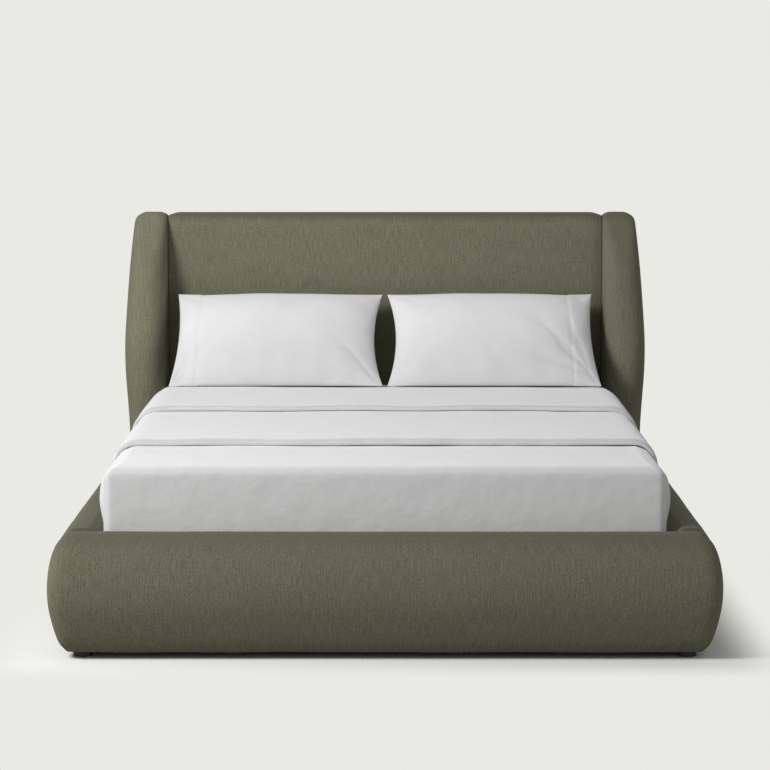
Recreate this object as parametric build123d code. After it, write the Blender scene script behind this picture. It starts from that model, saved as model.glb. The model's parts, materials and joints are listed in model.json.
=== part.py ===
from build123d import *
import math
import os

# An upholstered wing bed with slats, a low box spring, a mattress, bedding and two pillows.
# Millimetres. +X to the right seen from the foot, +Y towards the headboard, +Z up.
# The origin is on the floor, under the middle of the bed.

# Mattress and box spring
mattress_width = 1524.0
mattress_length = 2032.0
mattress_height = 268.0
box_spring_height = 127.0
box_spring_inset = 7.0
rest_gap = 0.3

# Upholstered rails
floor_gap = 20.0
rail_height = 325.0
rail_thickness = 137.0
side_clearance = 21.0
foot_clearance = 22.0
slat_top = 105.0
rail_end_radius = 46.0
rail_inner_radius = 14.0
rail_edge_radius = 9.0
rail_fold_inset = 7.0

# Headboard and wings
head_clearance = 10.0
headboard_height = 1109.0
headboard_thickness = 140.0
headboard_edge_radius = 6.0
headboard_top_radius = 44.0
wing_gap = 6.5
wing_seam_gap = 0.7
wing_projection = 250.0
wing_thickness = 131.0
wing_front_radius = 38.0
wing_back_radius = 16.0
wing_top_radius = 14.0

# Upholstery layers and the timber under them
cover_skin = 2.5
layer_gap = 0.3
foam_side = 24.0
plank_thickness = 18.0
rail_frame_drop = 42.0
frame_lift = 2.0
spacer_count = 4
spacer_length = 60.0
panel_thickness = 18.0
panel_drop = 46.0
post_width = 70.0
post_depth = 38.0
crossbar_height = 60.0
crossbar_count = 3
wing_frame_inset = 40.0
wing_frame_thickness = 54.0
overrun = 20.0

# Joining hardware
bracket_leg = 58.0
bracket_height = 60.0
bracket_thickness = 4.0
bracket_lift = 8.0
joint_plate_length = 150.0
bolt_shank_radius = 4.0
bolt_head_radius = 9.0
bolt_head_height = 3.5
bolt_length = 32.0
bolt_pitch = 34.0
seat_gap = 0.3

# Slat support
slat_width = 70.0
slat_thickness = 15.0
slat_count = 14
slat_side_gap = 3.0
slat_end_margin = 34.0
ledger_width = 26.0
ledger_height = 40.0
# The ledger is set back by this beside the wing's soft cover.
wing_relief = 5.0
beam_width = 60.0
beam_height = 45.0
hanger_wall = 3.0
hanger_depth = 45.0
hanger_flange = 24.0
leg_radius = 24.0
leg_clearance = 12.5
leg_share = (0.2, 0.5, 0.8)
glide_radius = 25.0
glide_height = 12.0
glide_edge = 3.0
stem_radius = 5.0
stem_clearance = 0.08
stem_length = 26.0
stem_headroom = 4.0
foot_radius = 30.0
foot_edge = 3.0
foot_inset = 70.0

# Box spring
timber_width = 42.0
timber_height = 34.0
cross_board_width = 64.0
cross_board_thickness = 12.0
cross_board_count = 9
module_wire = 4.0
module_columns = 5
module_half_length = 34.0
module_half_width = 46.0
module_top_half_width = 20.0
module_clearance = 1.0
grid_wire = 4.0
border_wire = 5.0
border_corner_radius = 40.0
grid_inset = 14.0
felt_height = 9.0
box_cover_skin = 1.5
box_corner_radius = 22.0
box_edge_radius = 7.0
dust_cloth_thickness = 0.6

# Mattress
mattress_corner_radius = 60.0
mattress_edge_radius = 16.0
mattress_skin = 2.5
edge_foam_width = 70.0
base_felt_height = 20.0
comfort_foam_height = 55.0
pocket_pitch = 90.0
pocket_neck = 22.0
pocket_gap = 4.0

# Bedding
sheet_thickness = 1.5
sheet_drop = 215.0
cover_thickness = 12.0
cover_drop = 212.0
cover_bulge = 9.0
# How much of the bow at the foot is lost at the head.
bow_loss = 2 / 3
cover_shoulder = 26.0
duvet_thickness = 21.5
duvet_side_thickness = 13.0
duvet_drop = 150.0
fold_thickness = 20.0
fold_side_thickness = 10.0
fold_drop = 118.0
roll_radius = 9.0
cover_head_gap = 300.0
duvet_foot_gap = 380.0
duvet_head_gap = 340.0
# The fold hangs this far off the duvet's bowed sides.
fold_side_ease = 1.6
fold_foot_gap = 1000.0
fold_head_gap = 375.0

# Pillows
pillow_width = 725.0
pillow_height = 510.0
pillow_thickness = 172.0
pillow_middle_gap = 10.0
pillow_lean = 29.0
pillow_head_gap = 471.0
pillow_base_rise = 12.0
case_skin = 1.6

# Places worked out from the sizes above
half_mattress = mattress_width / 2
rail_inner_x = half_mattress + side_clearance
rail_outer_x = rail_inner_x + rail_thickness
bed_length = (
    rail_thickness + foot_clearance + mattress_length + head_clearance + headboard_thickness
)
front_y = -bed_length / 2
foot_inner_y = front_y + rail_thickness
mattress_foot_y = foot_inner_y + foot_clearance
mattress_head_y = mattress_foot_y + mattress_length
headboard_front_y = mattress_head_y + head_clearance
headboard_back_y = headboard_front_y + headboard_thickness
wing_front_y = headboard_front_y - wing_projection
wing_inner_x = half_mattress + sheet_thickness + wing_gap
wing_outer_x = wing_inner_x + wing_thickness
plate_inner_x = rail_inner_x - seat_gap - bracket_thickness
plate_low = slat_top + bracket_lift
plate_high = plate_low + bracket_height
bolt_places = [
    (y, (plate_low + plate_high) / 2)
    for y in (
        foot_inner_y + seat_gap + bracket_leg - bolt_pitch / 2,
        wing_front_y - bolt_pitch * 3 / 2,
        wing_front_y - bolt_pitch / 2,
        wing_front_y + bolt_pitch / 2,
        wing_front_y + bolt_pitch * 3 / 2,
    )
]
rail_bottom = floor_gap
rail_top = floor_gap + rail_height
beam_top = slat_top - slat_thickness
beam_bottom = beam_top - beam_height
box_bottom = slat_top + rest_gap
box_top = box_bottom + box_spring_height
mattress_bottom = box_top + rest_gap
mattress_top = mattress_bottom + mattress_height
sheet_top = mattress_top + layer_gap + sheet_thickness
cover_top = sheet_top + layer_gap + cover_thickness
duvet_top = cover_top + layer_gap + duvet_thickness
fold_top = duvet_top + layer_gap + fold_thickness

# The puffed section of a rail at even steps from its bottom to its crown: the outer and the
# inner face's draw-in as shares of the thickness.
rail_section_share = (
    (0.34, 0.0),
    (0.17, 0.0),
    (0.085, 0.0),
    (0.022, 0.0),
    (0.0, 0.0),
    (0.012, 0.0),
    (0.055, 0.0),
    (0.14, 0.012),
    (0.4, 0.24),
)
# A wing's section at even steps from its bottom to its top: how far forward it reaches as a
# share of the projection, and the draw-in of its outer and inner face as shares of its thickness.
wing_section_share = (
    (0.97, 0.13, 0.12),
    (1.0, 0.03, 0.12),
    (1.0, 0.03, 0.12),
    (1.0, 0.06, 0.045),
    (1.0, 0.035, 0.0),
    (1.0, 0.005, 0.0),
    (0.93, 0.0, 0.0),
    (0.74, 0.02, 0.0),
    (0.52, 0.05, 0.0),
    (0.29, 0.09, 0.0),
    (0.04, 0.13, 0.0),
)
# How fast a rail's end radius shrinks as its outer face draws in.
end_radius_share = 1.2
# A pillow's half section: share of the half thickness, the draw-in of the outline as a share
# of the half height, and the bow of its sides as a share of the height.
pillow_section_share = (
    (0.0, 0.0, -0.03),
    (0.14, 0.035, -0.022),
    (0.36, 0.12, 0.006),
    (0.62, 0.27, 0.03),
    (0.84, 0.46, 0.045),
    (0.96, 0.64, 0.045),
    (1.0, 0.78, 0.04),
)


def block(x_low, x_high, y_low, y_high, z_low, z_high):
    """A box between two corners."""
    size = Box(x_high - x_low, y_high - y_low, z_high - z_low, align=Align.MIN)
    return Pos(x_low, y_low, z_low) * size


def upright(x, y, z_low, z_high, radius):
    """A round bar standing on z_low."""
    bar = Cylinder(radius, z_high - z_low, align=(Align.CENTER, Align.CENTER, Align.MIN))
    return Pos(x, y, z_low) * bar


def mirrored(shape):
    """The same shape on the other side of the bed."""
    return mirror(shape, about=Plane.YZ)


def group(shapes):
    """Separate solids that share one node."""
    return Compound(children=list(shapes))


def plan_level(z, x_low, x_high, y_low, y_high, front_radius, back_radius):
    """One level of an upholstered block: four lines and four quarter arcs."""
    a, b = front_radius, back_radius
    quarter = 90
    return Face(
        Wire(
            [
                Line((x_low + a, y_low, z), (x_high - a, y_low, z)),
                CenterArc((x_high - a, y_low + a, z), a, -quarter, quarter),
                Line((x_high, y_low + a, z), (x_high, y_high - b, z)),
                CenterArc((x_high - b, y_high - b, z), b, 0, quarter),
                Line((x_high - b, y_high, z), (x_low + b, y_high, z)),
                CenterArc((x_low + b, y_high - b, z), b, quarter, quarter),
                Line((x_low, y_high - b, z), (x_low, y_low + a, z)),
                CenterArc((x_low + a, y_low + a, z), a, 2 * quarter, quarter),
            ]
        )
    )


def rail_heights():
    """The even heights at which a rail's section is given."""
    last = len(rail_section_share) - 1
    return [index / last for index in range(last + 1)]


def foot_rail_body(inset):
    """The foot rail's puffed form, drawn in on every side by the inset."""
    levels = []
    for height, (outer, inner) in zip(rail_heights(), rail_section_share):
        out = outer * rail_thickness + inset
        half = rail_outer_x - out
        levels.append(
            plan_level(
                rail_bottom + height * (rail_height - inset),
                -half,
                half,
                front_y + out,
                foot_inner_y - inner * rail_thickness - inset,
                rail_end_radius * (1 - outer * end_radius_share) - inset,
                rail_inner_radius - inset,
            )
        )
    return loft(levels), levels[0]


def side_rail_body(inset):
    """The right side rail's puffed form: its ends fold in a little at the crown."""
    levels = []
    for height, (outer, inner) in zip(rail_heights(), rail_section_share):
        fold = inner / rail_section_share[-1][1] * rail_fold_inset
        levels.append(
            plan_level(
                rail_bottom + height * (rail_height - inset),
                rail_inner_x + inner * rail_thickness + inset,
                rail_outer_x - outer * rail_thickness - inset,
                foot_inner_y + rest_gap + fold + inset,
                wing_front_y - rest_gap - fold - inset,
                rail_edge_radius - inset,
                rail_edge_radius - inset,
            )
        )
    return loft(levels), levels[0]


def headboard_body(inset):
    """The headboard panel's form between the wings, its top rounded front and back."""
    half = wing_inner_x - wing_seam_gap - inset
    plan = plan_level(
        rail_bottom, -half, half, headboard_front_y + inset, headboard_back_y - inset,
        headboard_edge_radius - inset, headboard_edge_radius - inset,
    )
    body = extrude(plan, amount=headboard_height - rail_bottom - inset)
    crown = body.edges().group_by(Axis.Z)[-1]
    return fillet(crown, headboard_top_radius - inset), plan


def wing_body(inset):
    """The right wing's form: its front edge curves forward as it comes down."""
    levels = []
    last = len(wing_section_share) - 1
    for index, (reach, outer, inner) in enumerate(wing_section_share):
        levels.append(
            plan_level(
                rail_bottom + index / last * (headboard_height - rail_bottom - inset),
                wing_inner_x + inner * wing_thickness + inset,
                wing_outer_x - outer * wing_thickness - inset,
                headboard_front_y - reach * wing_projection + inset,
                headboard_back_y - inset,
                wing_front_radius - inset,
                wing_back_radius - inset,
            )
        )
    body = loft(levels)
    crown = body.edges().group_by(Axis.Z)[-1]
    return fillet(crown, wing_top_radius - inset), levels[0]


def upholstery(body_maker, frame_room):
    """The fabric cover and the foam padding of one block, open at the bottom."""
    outside, _ = body_maker(0)
    inside, inner_plan = body_maker(cover_skin)
    cover = outside - inside - extrude(inner_plan, amount=-overrun)
    foam, _ = body_maker(cover_skin + layer_gap)
    return cover, foam - frame_room


def plank_frame(x_low, x_high, y_low, y_high, z_low, z_high):
    """Two planks along the longer side, spacer blocks between them and a top plank."""
    along_x = x_high - x_low > y_high - y_low
    crown = z_high - plank_thickness
    parts = [block(x_low, x_high, y_low, y_high, crown, z_high)]
    if along_x:
        parts.append(block(x_low, x_high, y_low, y_low + plank_thickness, z_low, crown))
        parts.append(block(x_low, x_high, y_high - plank_thickness, y_high, z_low, crown))
        start, end = x_low, x_high - spacer_length
    else:
        parts.append(block(x_low, x_low + plank_thickness, y_low, y_high, z_low, crown))
        parts.append(block(x_high - plank_thickness, x_high, y_low, y_high, z_low, crown))
        start, end = y_low, y_high - spacer_length
    for index in range(spacer_count):
        place = start + (end - start) * index / (spacer_count - 1)
        if along_x:
            low, high = y_low + plank_thickness, y_high - plank_thickness
            parts.append(block(place, place + spacer_length, low, high, z_low, crown))
        else:
            low, high = x_low + plank_thickness, x_high - plank_thickness
            parts.append(block(low, high, place, place + spacer_length, z_low, crown))
    return parts


def make_foot_rail():
    """The padded rail across the foot of the bed."""
    half = rail_outer_x - rail_section_share[0][0] * rail_thickness - foam_side / 2
    y_low = front_y + rail_section_share[0][0] * rail_thickness + foam_side / 2
    y_high = foot_inner_y - foam_side / 2
    z_low, z_high = rail_bottom + frame_lift, rail_top - rail_frame_drop
    room = block(
        -half - layer_gap, half + layer_gap, y_low - layer_gap, y_high + layer_gap,
        z_low - overrun, z_high + layer_gap,
    )
    cover, padding = upholstery(foot_rail_body, room)
    frame = group(plank_frame(-half, half, y_low, y_high, z_low, z_high))
    return {"foot_rail_cover": cover, "foot_rail_padding": padding, "foot_rail_frame": frame}


def make_side_rails():
    """The two padded side rails, butted between the foot rail and the wings."""
    x_low = rail_inner_x + foam_side / 2
    x_high = rail_outer_x - rail_section_share[0][0] * rail_thickness - foam_side / 2
    y_low = foot_inner_y + rest_gap + foam_side / 2
    y_high = wing_front_y - rest_gap - foam_side / 2
    z_low, z_high = rail_bottom + frame_lift, rail_top - rail_frame_drop
    room = block(
        x_low - layer_gap, x_high + layer_gap, y_low - layer_gap, y_high + layer_gap,
        z_low - overrun, z_high + layer_gap,
    )
    cover, padding = upholstery(side_rail_body, room)
    cover, padding = drilled(cover), drilled(padding)
    planks = plank_frame(x_low, x_high, y_low, y_high, z_low, z_high)
    frame = group([drilled(plank) for plank in planks])
    return {
        "side_rail_right_cover": cover,
        "side_rail_right_padding": padding,
        "side_rail_right_frame": frame,
        "side_rail_left_cover": mirrored(cover),
        "side_rail_left_padding": mirrored(padding),
        "side_rail_left_frame": mirrored(frame),
    }


def make_headboard():
    """The padded panel between the wings, on a plywood board, posts and crossbars."""
    half = wing_inner_x - foam_side
    board_front = headboard_front_y + foam_side
    board_back = board_front + panel_thickness
    post_back = board_back + post_depth
    z_low, z_high = rail_bottom + frame_lift, headboard_height - panel_drop
    room = block(
        -half - layer_gap, half + layer_gap, board_front - layer_gap, post_back + layer_gap,
        z_low - overrun, z_high + layer_gap,
    )
    cover, padding = upholstery(headboard_body, room)
    posts = [
        block(-half, -half + post_width, board_back, post_back, z_low, z_high),
        block(half - post_width, half, board_back, post_back, z_low, z_high),
    ]
    bars = []
    for index in range(crossbar_count):
        rise = (z_high - z_low - crossbar_height) * index / (crossbar_count - 1)
        low = z_low + rise
        bars.append(
            block(
                -half + post_width, half - post_width, board_back, post_back,
                low, low + crossbar_height,
            )
        )
    return {
        "headboard_cover": cover,
        "headboard_padding": padding,
        "headboard_panel": block(-half, half, board_front, board_back, z_low, z_high),
        "headboard_posts": group(posts),
        "headboard_crossbars": group(bars),
    }


def make_wings():
    """The two curved wings, each on a board cut to the wing's side view."""
    middle = wing_inner_x + wing_thickness / 2
    x_low, x_high = middle - wing_frame_thickness / 2, middle + wing_frame_thickness / 2
    points = []
    last = len(wing_section_share) - 1
    for index, (reach, _, _) in enumerate(wing_section_share[:-1]):
        y = headboard_front_y - reach * wing_projection + wing_frame_inset
        z = rail_bottom + index / last * (headboard_height - rail_bottom)
        points.append((y, z))
    top_z = points[-1][1]
    back_y = headboard_back_y - wing_frame_inset
    points[0] = (points[0][0], rail_bottom + frame_lift)

    def side_board(spread, drop):
        """The board's outline, grown by spread and run down by drop."""
        front = [(y - spread, z) for y, z in points]
        front[0] = (front[0][0], front[0][1] - drop)
        front[-1] = (front[-1][0], top_z + spread)
        back = back_y + spread
        outline = front + [(back, top_z + spread), (back, front[0][1])]
        face = make_face(Polyline(*[(x_low - spread, y, z) for y, z in outline], close=True))
        return extrude(face, amount=x_high - x_low + 2 * spread, dir=(1, 0, 0))

    cover, padding = upholstery(wing_body, side_board(layer_gap, overrun))
    cover, padding = drilled(cover), drilled(padding)
    frame = drilled(side_board(0, 0))
    return {
        "wing_right_cover": cover,
        "wing_right_padding": padding,
        "wing_right_frame": frame,
        "wing_left_cover": mirrored(cover),
        "wing_left_padding": mirrored(padding),
        "wing_left_frame": mirrored(frame),
    }


def side_bolt(y, z):
    """A dome-headed bolt with its head on a steel plate at the rail's inner face."""
    head = Cylinder(bolt_head_radius, bolt_head_height, align=(Align.CENTER, Align.CENTER, Align.MAX))
    head = fillet(head.edges().group_by(Axis.Z)[0], bolt_head_height / 2)
    shank = Cylinder(bolt_shank_radius, bolt_length, align=(Align.CENTER, Align.CENTER, Align.MIN))
    return Pos(plate_inner_x, y, z) * Rot(0, 90, 0) * (head + shank)


def drilled(shape):
    """The shape with a clearance hole for each bolt on the right-hand side."""
    radius = bolt_shank_radius + layer_gap
    drill = Rot(0, 90, 0) * Cylinder(radius, 2 * (bolt_length + overrun))
    for y, z in bolt_places:
        shape -= Pos(plate_inner_x, y, z) * drill
    return shape


def make_joining_hardware():
    """Angle brackets in the foot corners, plates over the head joints, and their bolts."""
    x_low, x_high = plate_inner_x, plate_inner_x + bracket_thickness
    y_low = foot_inner_y + seat_gap
    side_leg = block(x_low, x_high, y_low, y_low + bracket_leg, plate_low, plate_high)
    foot_leg = block(
        x_high - bracket_leg, x_high, y_low, y_low + bracket_thickness, plate_low, plate_high
    )
    bracket = drilled(side_leg + foot_leg)
    plate_y = wing_front_y - joint_plate_length / 2
    plate = block(x_low, x_high, plate_y, plate_y + joint_plate_length, plate_low, plate_high)
    plate = drilled(plate)
    bolts = [side_bolt(y, z) for y, z in bolt_places]
    return {
        "corner_brackets": group([bracket, mirrored(bracket)]),
        "head_joint_plates": group([plate, mirrored(plate)]),
        "joint_bolts": group(bolts + [mirrored(bolt) for bolt in bolts]),
    }


def make_slat_support():
    """Ledgers, slats and the centre beam in its two hangers."""
    slat_half = rail_inner_x - slat_side_gap
    y_first = foot_inner_y + slat_end_margin
    y_last = headboard_front_y - slat_end_margin - slat_width
    slats = []
    for index in range(slat_count):
        y = y_first + (y_last - y_first) * index / (slat_count - 1)
        slat = block(-slat_half, slat_half, y, y + slat_width, beam_top, slat_top)
        slats.append(fillet(slat.edges().filter_by(Axis.X), slat_thickness / 5))
    ledger_x = rail_inner_x - seat_gap
    wing_front_y = headboard_front_y - wing_projection
    relief = block(
        ledger_x - wing_relief, ledger_x + overrun, wing_front_y - overrun,
        headboard_front_y + overrun, beam_top - ledger_height - overrun, beam_top + overrun,
    )
    ledger = block(
        ledger_x - ledger_width, ledger_x, foot_inner_y + seat_gap,
        headboard_front_y - seat_gap, beam_top - ledger_height, beam_top,
    )
    half = beam_width / 2
    beam_low_y = foot_inner_y + seat_gap + hanger_wall
    beam_high_y = headboard_front_y - seat_gap - hanger_wall
    beam = block(-half, half, beam_low_y, beam_high_y, beam_bottom, beam_top)

    def hanger(wall_y, inward):
        """A steel pocket on a wall at wall_y: back plate, floor and two cheeks."""
        back = sorted((wall_y, wall_y + inward * hanger_wall))
        reach = sorted((wall_y, wall_y + inward * hanger_depth))
        low = beam_bottom - hanger_wall
        wide = half + hanger_wall
        plate = block(-wide - hanger_flange, wide + hanger_flange, *back, low, beam_top)
        shell = block(-wide, wide, *reach, low, beam_top)
        inside_y = sorted((wall_y + inward * hanger_wall, wall_y + inward * (hanger_depth + overrun)))
        room = block(-half, half, *inside_y, beam_bottom, beam_top + overrun)
        return plate + (shell - room)

    hangers = [hanger(foot_inner_y + seat_gap, 1), hanger(headboard_front_y - seat_gap, -1)]
    return {
        "slats": group(slats),
        "ledger_right": ledger - relief,
        "ledger_left": mirrored(ledger - relief),
        "centre_beam": beam,
        "beam_hangers": group(hangers),
    }


def make_centre_legs():
    """Three short legs under the centre beam, each with a levelling glide on a screwed stem."""
    parts = {}
    span = headboard_front_y - foot_inner_y
    for number, share in enumerate(leg_share, start=1):
        y = foot_inner_y + share * span
        leg = upright(0, y, leg_clearance, beam_bottom, leg_radius)
        leg = fillet(leg.edges().group_by(Axis.Z)[0], glide_edge)
        bore_top = glide_height + stem_length + stem_headroom
        leg -= upright(0, y, 0, bore_top, stem_radius + stem_clearance)
        disc = upright(0, y, 0, glide_height, glide_radius)
        disc = fillet(disc.edges().group_by(Axis.Z)[-1], glide_edge)
        stem = upright(0, y, glide_height, glide_height + stem_length, stem_radius)
        parts[f"centre_leg_{number}"] = leg
        parts[f"levelling_glide_{number}"] = disc + stem
    return parts


def make_feet():
    """Four round feet under the corners of the frame, hidden behind the rails."""
    parts = {}
    side_x = rail_inner_x + (rail_thickness - rail_section_share[0][0] * rail_thickness) / 2
    wing_x = wing_inner_x + wing_thickness / 2
    front = front_y + foot_inset + rail_section_share[0][0] * foot_inset
    back = headboard_back_y - foot_inset
    for name, x, y in (
        ("foot_front_right", side_x, front),
        ("foot_front_left", -side_x, front),
        ("foot_back_right", wing_x, back),
        ("foot_back_left", -wing_x, back),
    ):
        radius = min(foot_radius, wing_frame_thickness / 2)
        foot = upright(x, y, 0, rail_bottom + frame_lift, radius)
        parts[name] = fillet(foot.edges().group_by(Axis.Z)[0], foot_edge)
    return parts


def rounded_slab(half_width, y_low, y_high, z_low, z_high, radius):
    """A slab centred on the bed, with rounded upright corners."""
    middle = (y_low + y_high) / 2
    plan = RectangleRounded(2 * half_width, y_high - y_low, radius)
    return extrude(Pos(0, middle, z_low) * plan, amount=z_high - z_low)


def spring_module():
    """One bent wire module of the box spring, standing on z = 0 with its top level."""
    rise = box_frame_to_grid - module_wire - module_clearance
    l, w, t = module_half_length, module_half_width, module_top_half_width
    path = Polyline(
        (-w, -l, 0), (-w, l, 0), (-t, l, rise), (t, l, rise),
        (w, l, 0), (w, -l, 0), (t, -l, rise), (-t, -l, rise),
    )
    section = Plane(path @ 0, z_dir=path % 0) * Rectangle(module_wire, module_wire)
    wire = sweep(section, path, transition=Transition.RIGHT)
    return Pos(0, 0, module_wire / 2) * wire


box_half = half_mattress - box_spring_inset
box_foot_y = mattress_foot_y + box_spring_inset
box_head_y = mattress_head_y - box_spring_inset
box_frame_low = box_bottom + dust_cloth_thickness + layer_gap
box_frame_top = box_frame_low + timber_height + cross_board_thickness
grid_high = box_top - box_cover_skin - layer_gap - felt_height
box_frame_to_grid = grid_high - 2 * grid_wire - box_frame_top


def make_box_spring():
    """The low box spring: timber frame, boards, bent wire modules, grid, felt and cover."""
    skin = box_cover_skin + layer_gap
    half = box_half - skin
    y_low, y_high = box_foot_y + skin, box_head_y - skin
    beam_z = box_frame_low + timber_height
    room = rounded_slab(half, y_low, y_high, box_bottom, box_top, box_corner_radius - skin)
    side = block(half - timber_width, half, y_low, y_high, box_frame_low, beam_z) & room
    sides = [side, mirrored(side)]
    inner = half - timber_width
    ends = [
        block(-inner, inner, y_low, y_low + timber_width, box_frame_low, beam_z),
        block(-inner, inner, y_high - timber_width, y_high, box_frame_low, beam_z),
    ]
    boards, modules, grid = [], [], []
    module = spring_module()
    grid_half = half - grid_inset
    grid_low_y, grid_high_y = y_low + grid_inset, y_high - grid_inset
    wire = grid_wire / 2
    for row in range(cross_board_count):
        travel = y_high - y_low - cross_board_width
        y = y_low + travel * row / (cross_board_count - 1)
        board = block(-half, half, y, y + cross_board_width, beam_z, box_frame_top)
        boards.append(board & room if row in (0, cross_board_count - 1) else board)
        centre = min(
            max(y + cross_board_width / 2, grid_low_y + module_half_length + border_wire),
            grid_high_y - module_half_length - border_wire,
        )
        for column in range(module_columns):
            reach = grid_half - border_wire - module_half_width
            x = reach * (2 * column / (module_columns - 1) - 1)
            modules.append(Pos(x, centre, box_frame_top) * module)
        grid.append(
            block(-grid_half + border_wire, grid_half - border_wire, centre - wire, centre + wire,
                  grid_high - 2 * grid_wire, grid_high - grid_wire)
        )
    for column in range(module_columns):
        reach = grid_half - border_wire - module_half_width
        x = reach * (2 * column / (module_columns - 1) - 1)
        grid.append(
            block(x - wire, x + wire, grid_low_y + border_wire, grid_high_y - border_wire,
                  grid_high - grid_wire, grid_high)
        )
    border_radius = border_corner_radius
    border = rounded_slab(
        grid_half, grid_low_y, grid_high_y, grid_high - 2 * grid_wire, grid_high, border_radius
    ) - rounded_slab(
        grid_half - border_wire, grid_low_y + border_wire, grid_high_y - border_wire,
        grid_high - 2 * grid_wire - overrun, grid_high + overrun, border_radius - border_wire,
    )
    felt = rounded_slab(half, y_low, y_high, grid_high, grid_high + felt_height,
                        box_corner_radius - skin)
    felt = fillet(felt.edges().group_by(Axis.Z)[-1], box_edge_radius - skin)
    outside = rounded_slab(box_half, box_foot_y, box_head_y, box_bottom, box_top,
                           box_corner_radius)
    outside = fillet(outside.edges().group_by(Axis.Z)[-1], box_edge_radius)
    inside = rounded_slab(
        box_half - box_cover_skin, box_foot_y + box_cover_skin, box_head_y - box_cover_skin,
        box_bottom - overrun, box_top - box_cover_skin, box_corner_radius - box_cover_skin,
    )
    inside = fillet(inside.edges().group_by(Axis.Z)[-1], box_edge_radius - box_cover_skin)
    dust = rounded_slab(half, y_low, y_high, box_bottom, box_bottom + dust_cloth_thickness,
                        box_corner_radius - skin)
    return {
        "box_spring_frame": group(sides + ends),
        "box_spring_boards": group(boards),
        "box_spring_modules": group(modules),
        "box_spring_grid": group(grid + [border]),
        "box_spring_felt": felt,
        "box_spring_cover": outside - inside,
        "box_spring_dust_cloth": dust,
    }


def pocket_row(length, depth, height):
    """A strip of spring pockets, pinched between one pocket and the next."""
    count = round(length / pocket_pitch)
    step = length / count
    neck = pocket_neck / 2
    side = [(0, neck)]
    for index in range(count):
        side.append(((index + 1 / 2) * step, depth / 2))
        side.append(((index + 1) * step, neck))
    outline = side + [(x, -y) for x, y in reversed(side)]
    face = make_face(Polyline(*[(x - length / 2, y) for x, y in outline], close=True))
    return extrude(face, amount=height)


def make_mattress():
    """The mattress: cover, tape edges, felt, pocket springs in foam edges, comfort foam."""
    half, low_y, high_y = half_mattress, mattress_foot_y, mattress_head_y
    outside = rounded_slab(half, low_y, high_y, mattress_bottom, mattress_top,
                           mattress_corner_radius)
    rims = outside.edges().group_by(Axis.Z)
    outside = fillet(rims[0] + rims[-1], mattress_edge_radius)
    skin = mattress_skin
    inner_radius = mattress_corner_radius - skin
    inside = rounded_slab(half - skin, low_y + skin, high_y - skin, mattress_bottom + skin,
                          mattress_top - skin, inner_radius)
    rims = inside.edges().group_by(Axis.Z)
    inside = fillet(rims[0] + rims[-1], mattress_edge_radius - skin)
    skin += layer_gap
    wide, deep_low, deep_high = half - skin, low_y + skin, high_y - skin
    core_low = mattress_bottom + skin
    core_high = mattress_top - skin
    spring_low = core_low + base_felt_height
    spring_high = core_high - comfort_foam_height
    radius = mattress_corner_radius - skin
    rim = mattress_edge_radius - skin

    def layer(low, high):
        """A full-size layer inside the cover."""
        return rounded_slab(wide, deep_low, deep_high, low, high, radius)

    felt = layer(core_low, spring_low)
    felt = fillet(felt.edges().group_by(Axis.Z)[0], rim)
    foam = layer(spring_high, core_high)
    foam = fillet(foam.edges().group_by(Axis.Z)[-1], rim)
    hole_half = wide - edge_foam_width
    hole_low, hole_high = deep_low + edge_foam_width, deep_high - edge_foam_width
    edge = layer(spring_low, spring_high) - block(
        -hole_half, hole_half, hole_low, hole_high, spring_low - overrun, spring_high + overrun
    )
    spring_width = 2 * (hole_half - layer_gap)
    spring_length = hole_high - hole_low
    rows = round(spring_length / pocket_pitch)
    row_step = spring_length / rows
    row = pocket_row(spring_width, row_step - pocket_gap, spring_high - spring_low)
    springs = [
        Pos(0, hole_low + (index + 1 / 2) * row_step, spring_low) * row for index in range(rows)
    ]
    return {
        "mattress_cover": outside - inside,
        "mattress_base_felt": felt,
        "mattress_comfort_foam": foam,
        "mattress_edge_foam": edge,
        "mattress_pocket_springs": group(springs),
    }


def drape_level(y, half_low, half_bulge, half_top, z_low, z_top, shoulder):
    """An upright section across the bed: bowed sides and rounded shoulders."""
    middle_z = (z_low + z_top - shoulder) / 2
    shoulder_z = z_top - shoulder
    turn = shoulder * (1 - math.sqrt(2) / 2)

    def side(sign):
        """The bowed side and the shoulder, from the hem up."""
        bow = ThreePointArc(
            (sign * half_low, y, z_low), (sign * half_bulge, y, middle_z),
            (sign * half_top, y, shoulder_z),
        )
        corner = ThreePointArc(
            (sign * half_top, y, shoulder_z),
            (sign * (half_top - turn), y, z_top - turn),
            (sign * (half_top - shoulder), y, z_top),
        )
        return bow, corner

    right_bow, right_corner = side(1)
    left_bow, left_corner = side(-1)
    top = Line((half_top - shoulder, y, z_top), (shoulder - half_top, y, z_top))
    hem = Line((-half_low, y, z_low), (half_low, y, z_low))
    return Face(Wire([hem, right_bow, right_corner, top, left_corner, left_bow]))


def drape(stations, z_low, z_top, shoulder):
    """A solid under a hanging cloth, through its stations of (y, low, bulge, top)."""
    return loft([drape_level(*station, z_low, z_top, shoulder) for station in stations])


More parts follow.
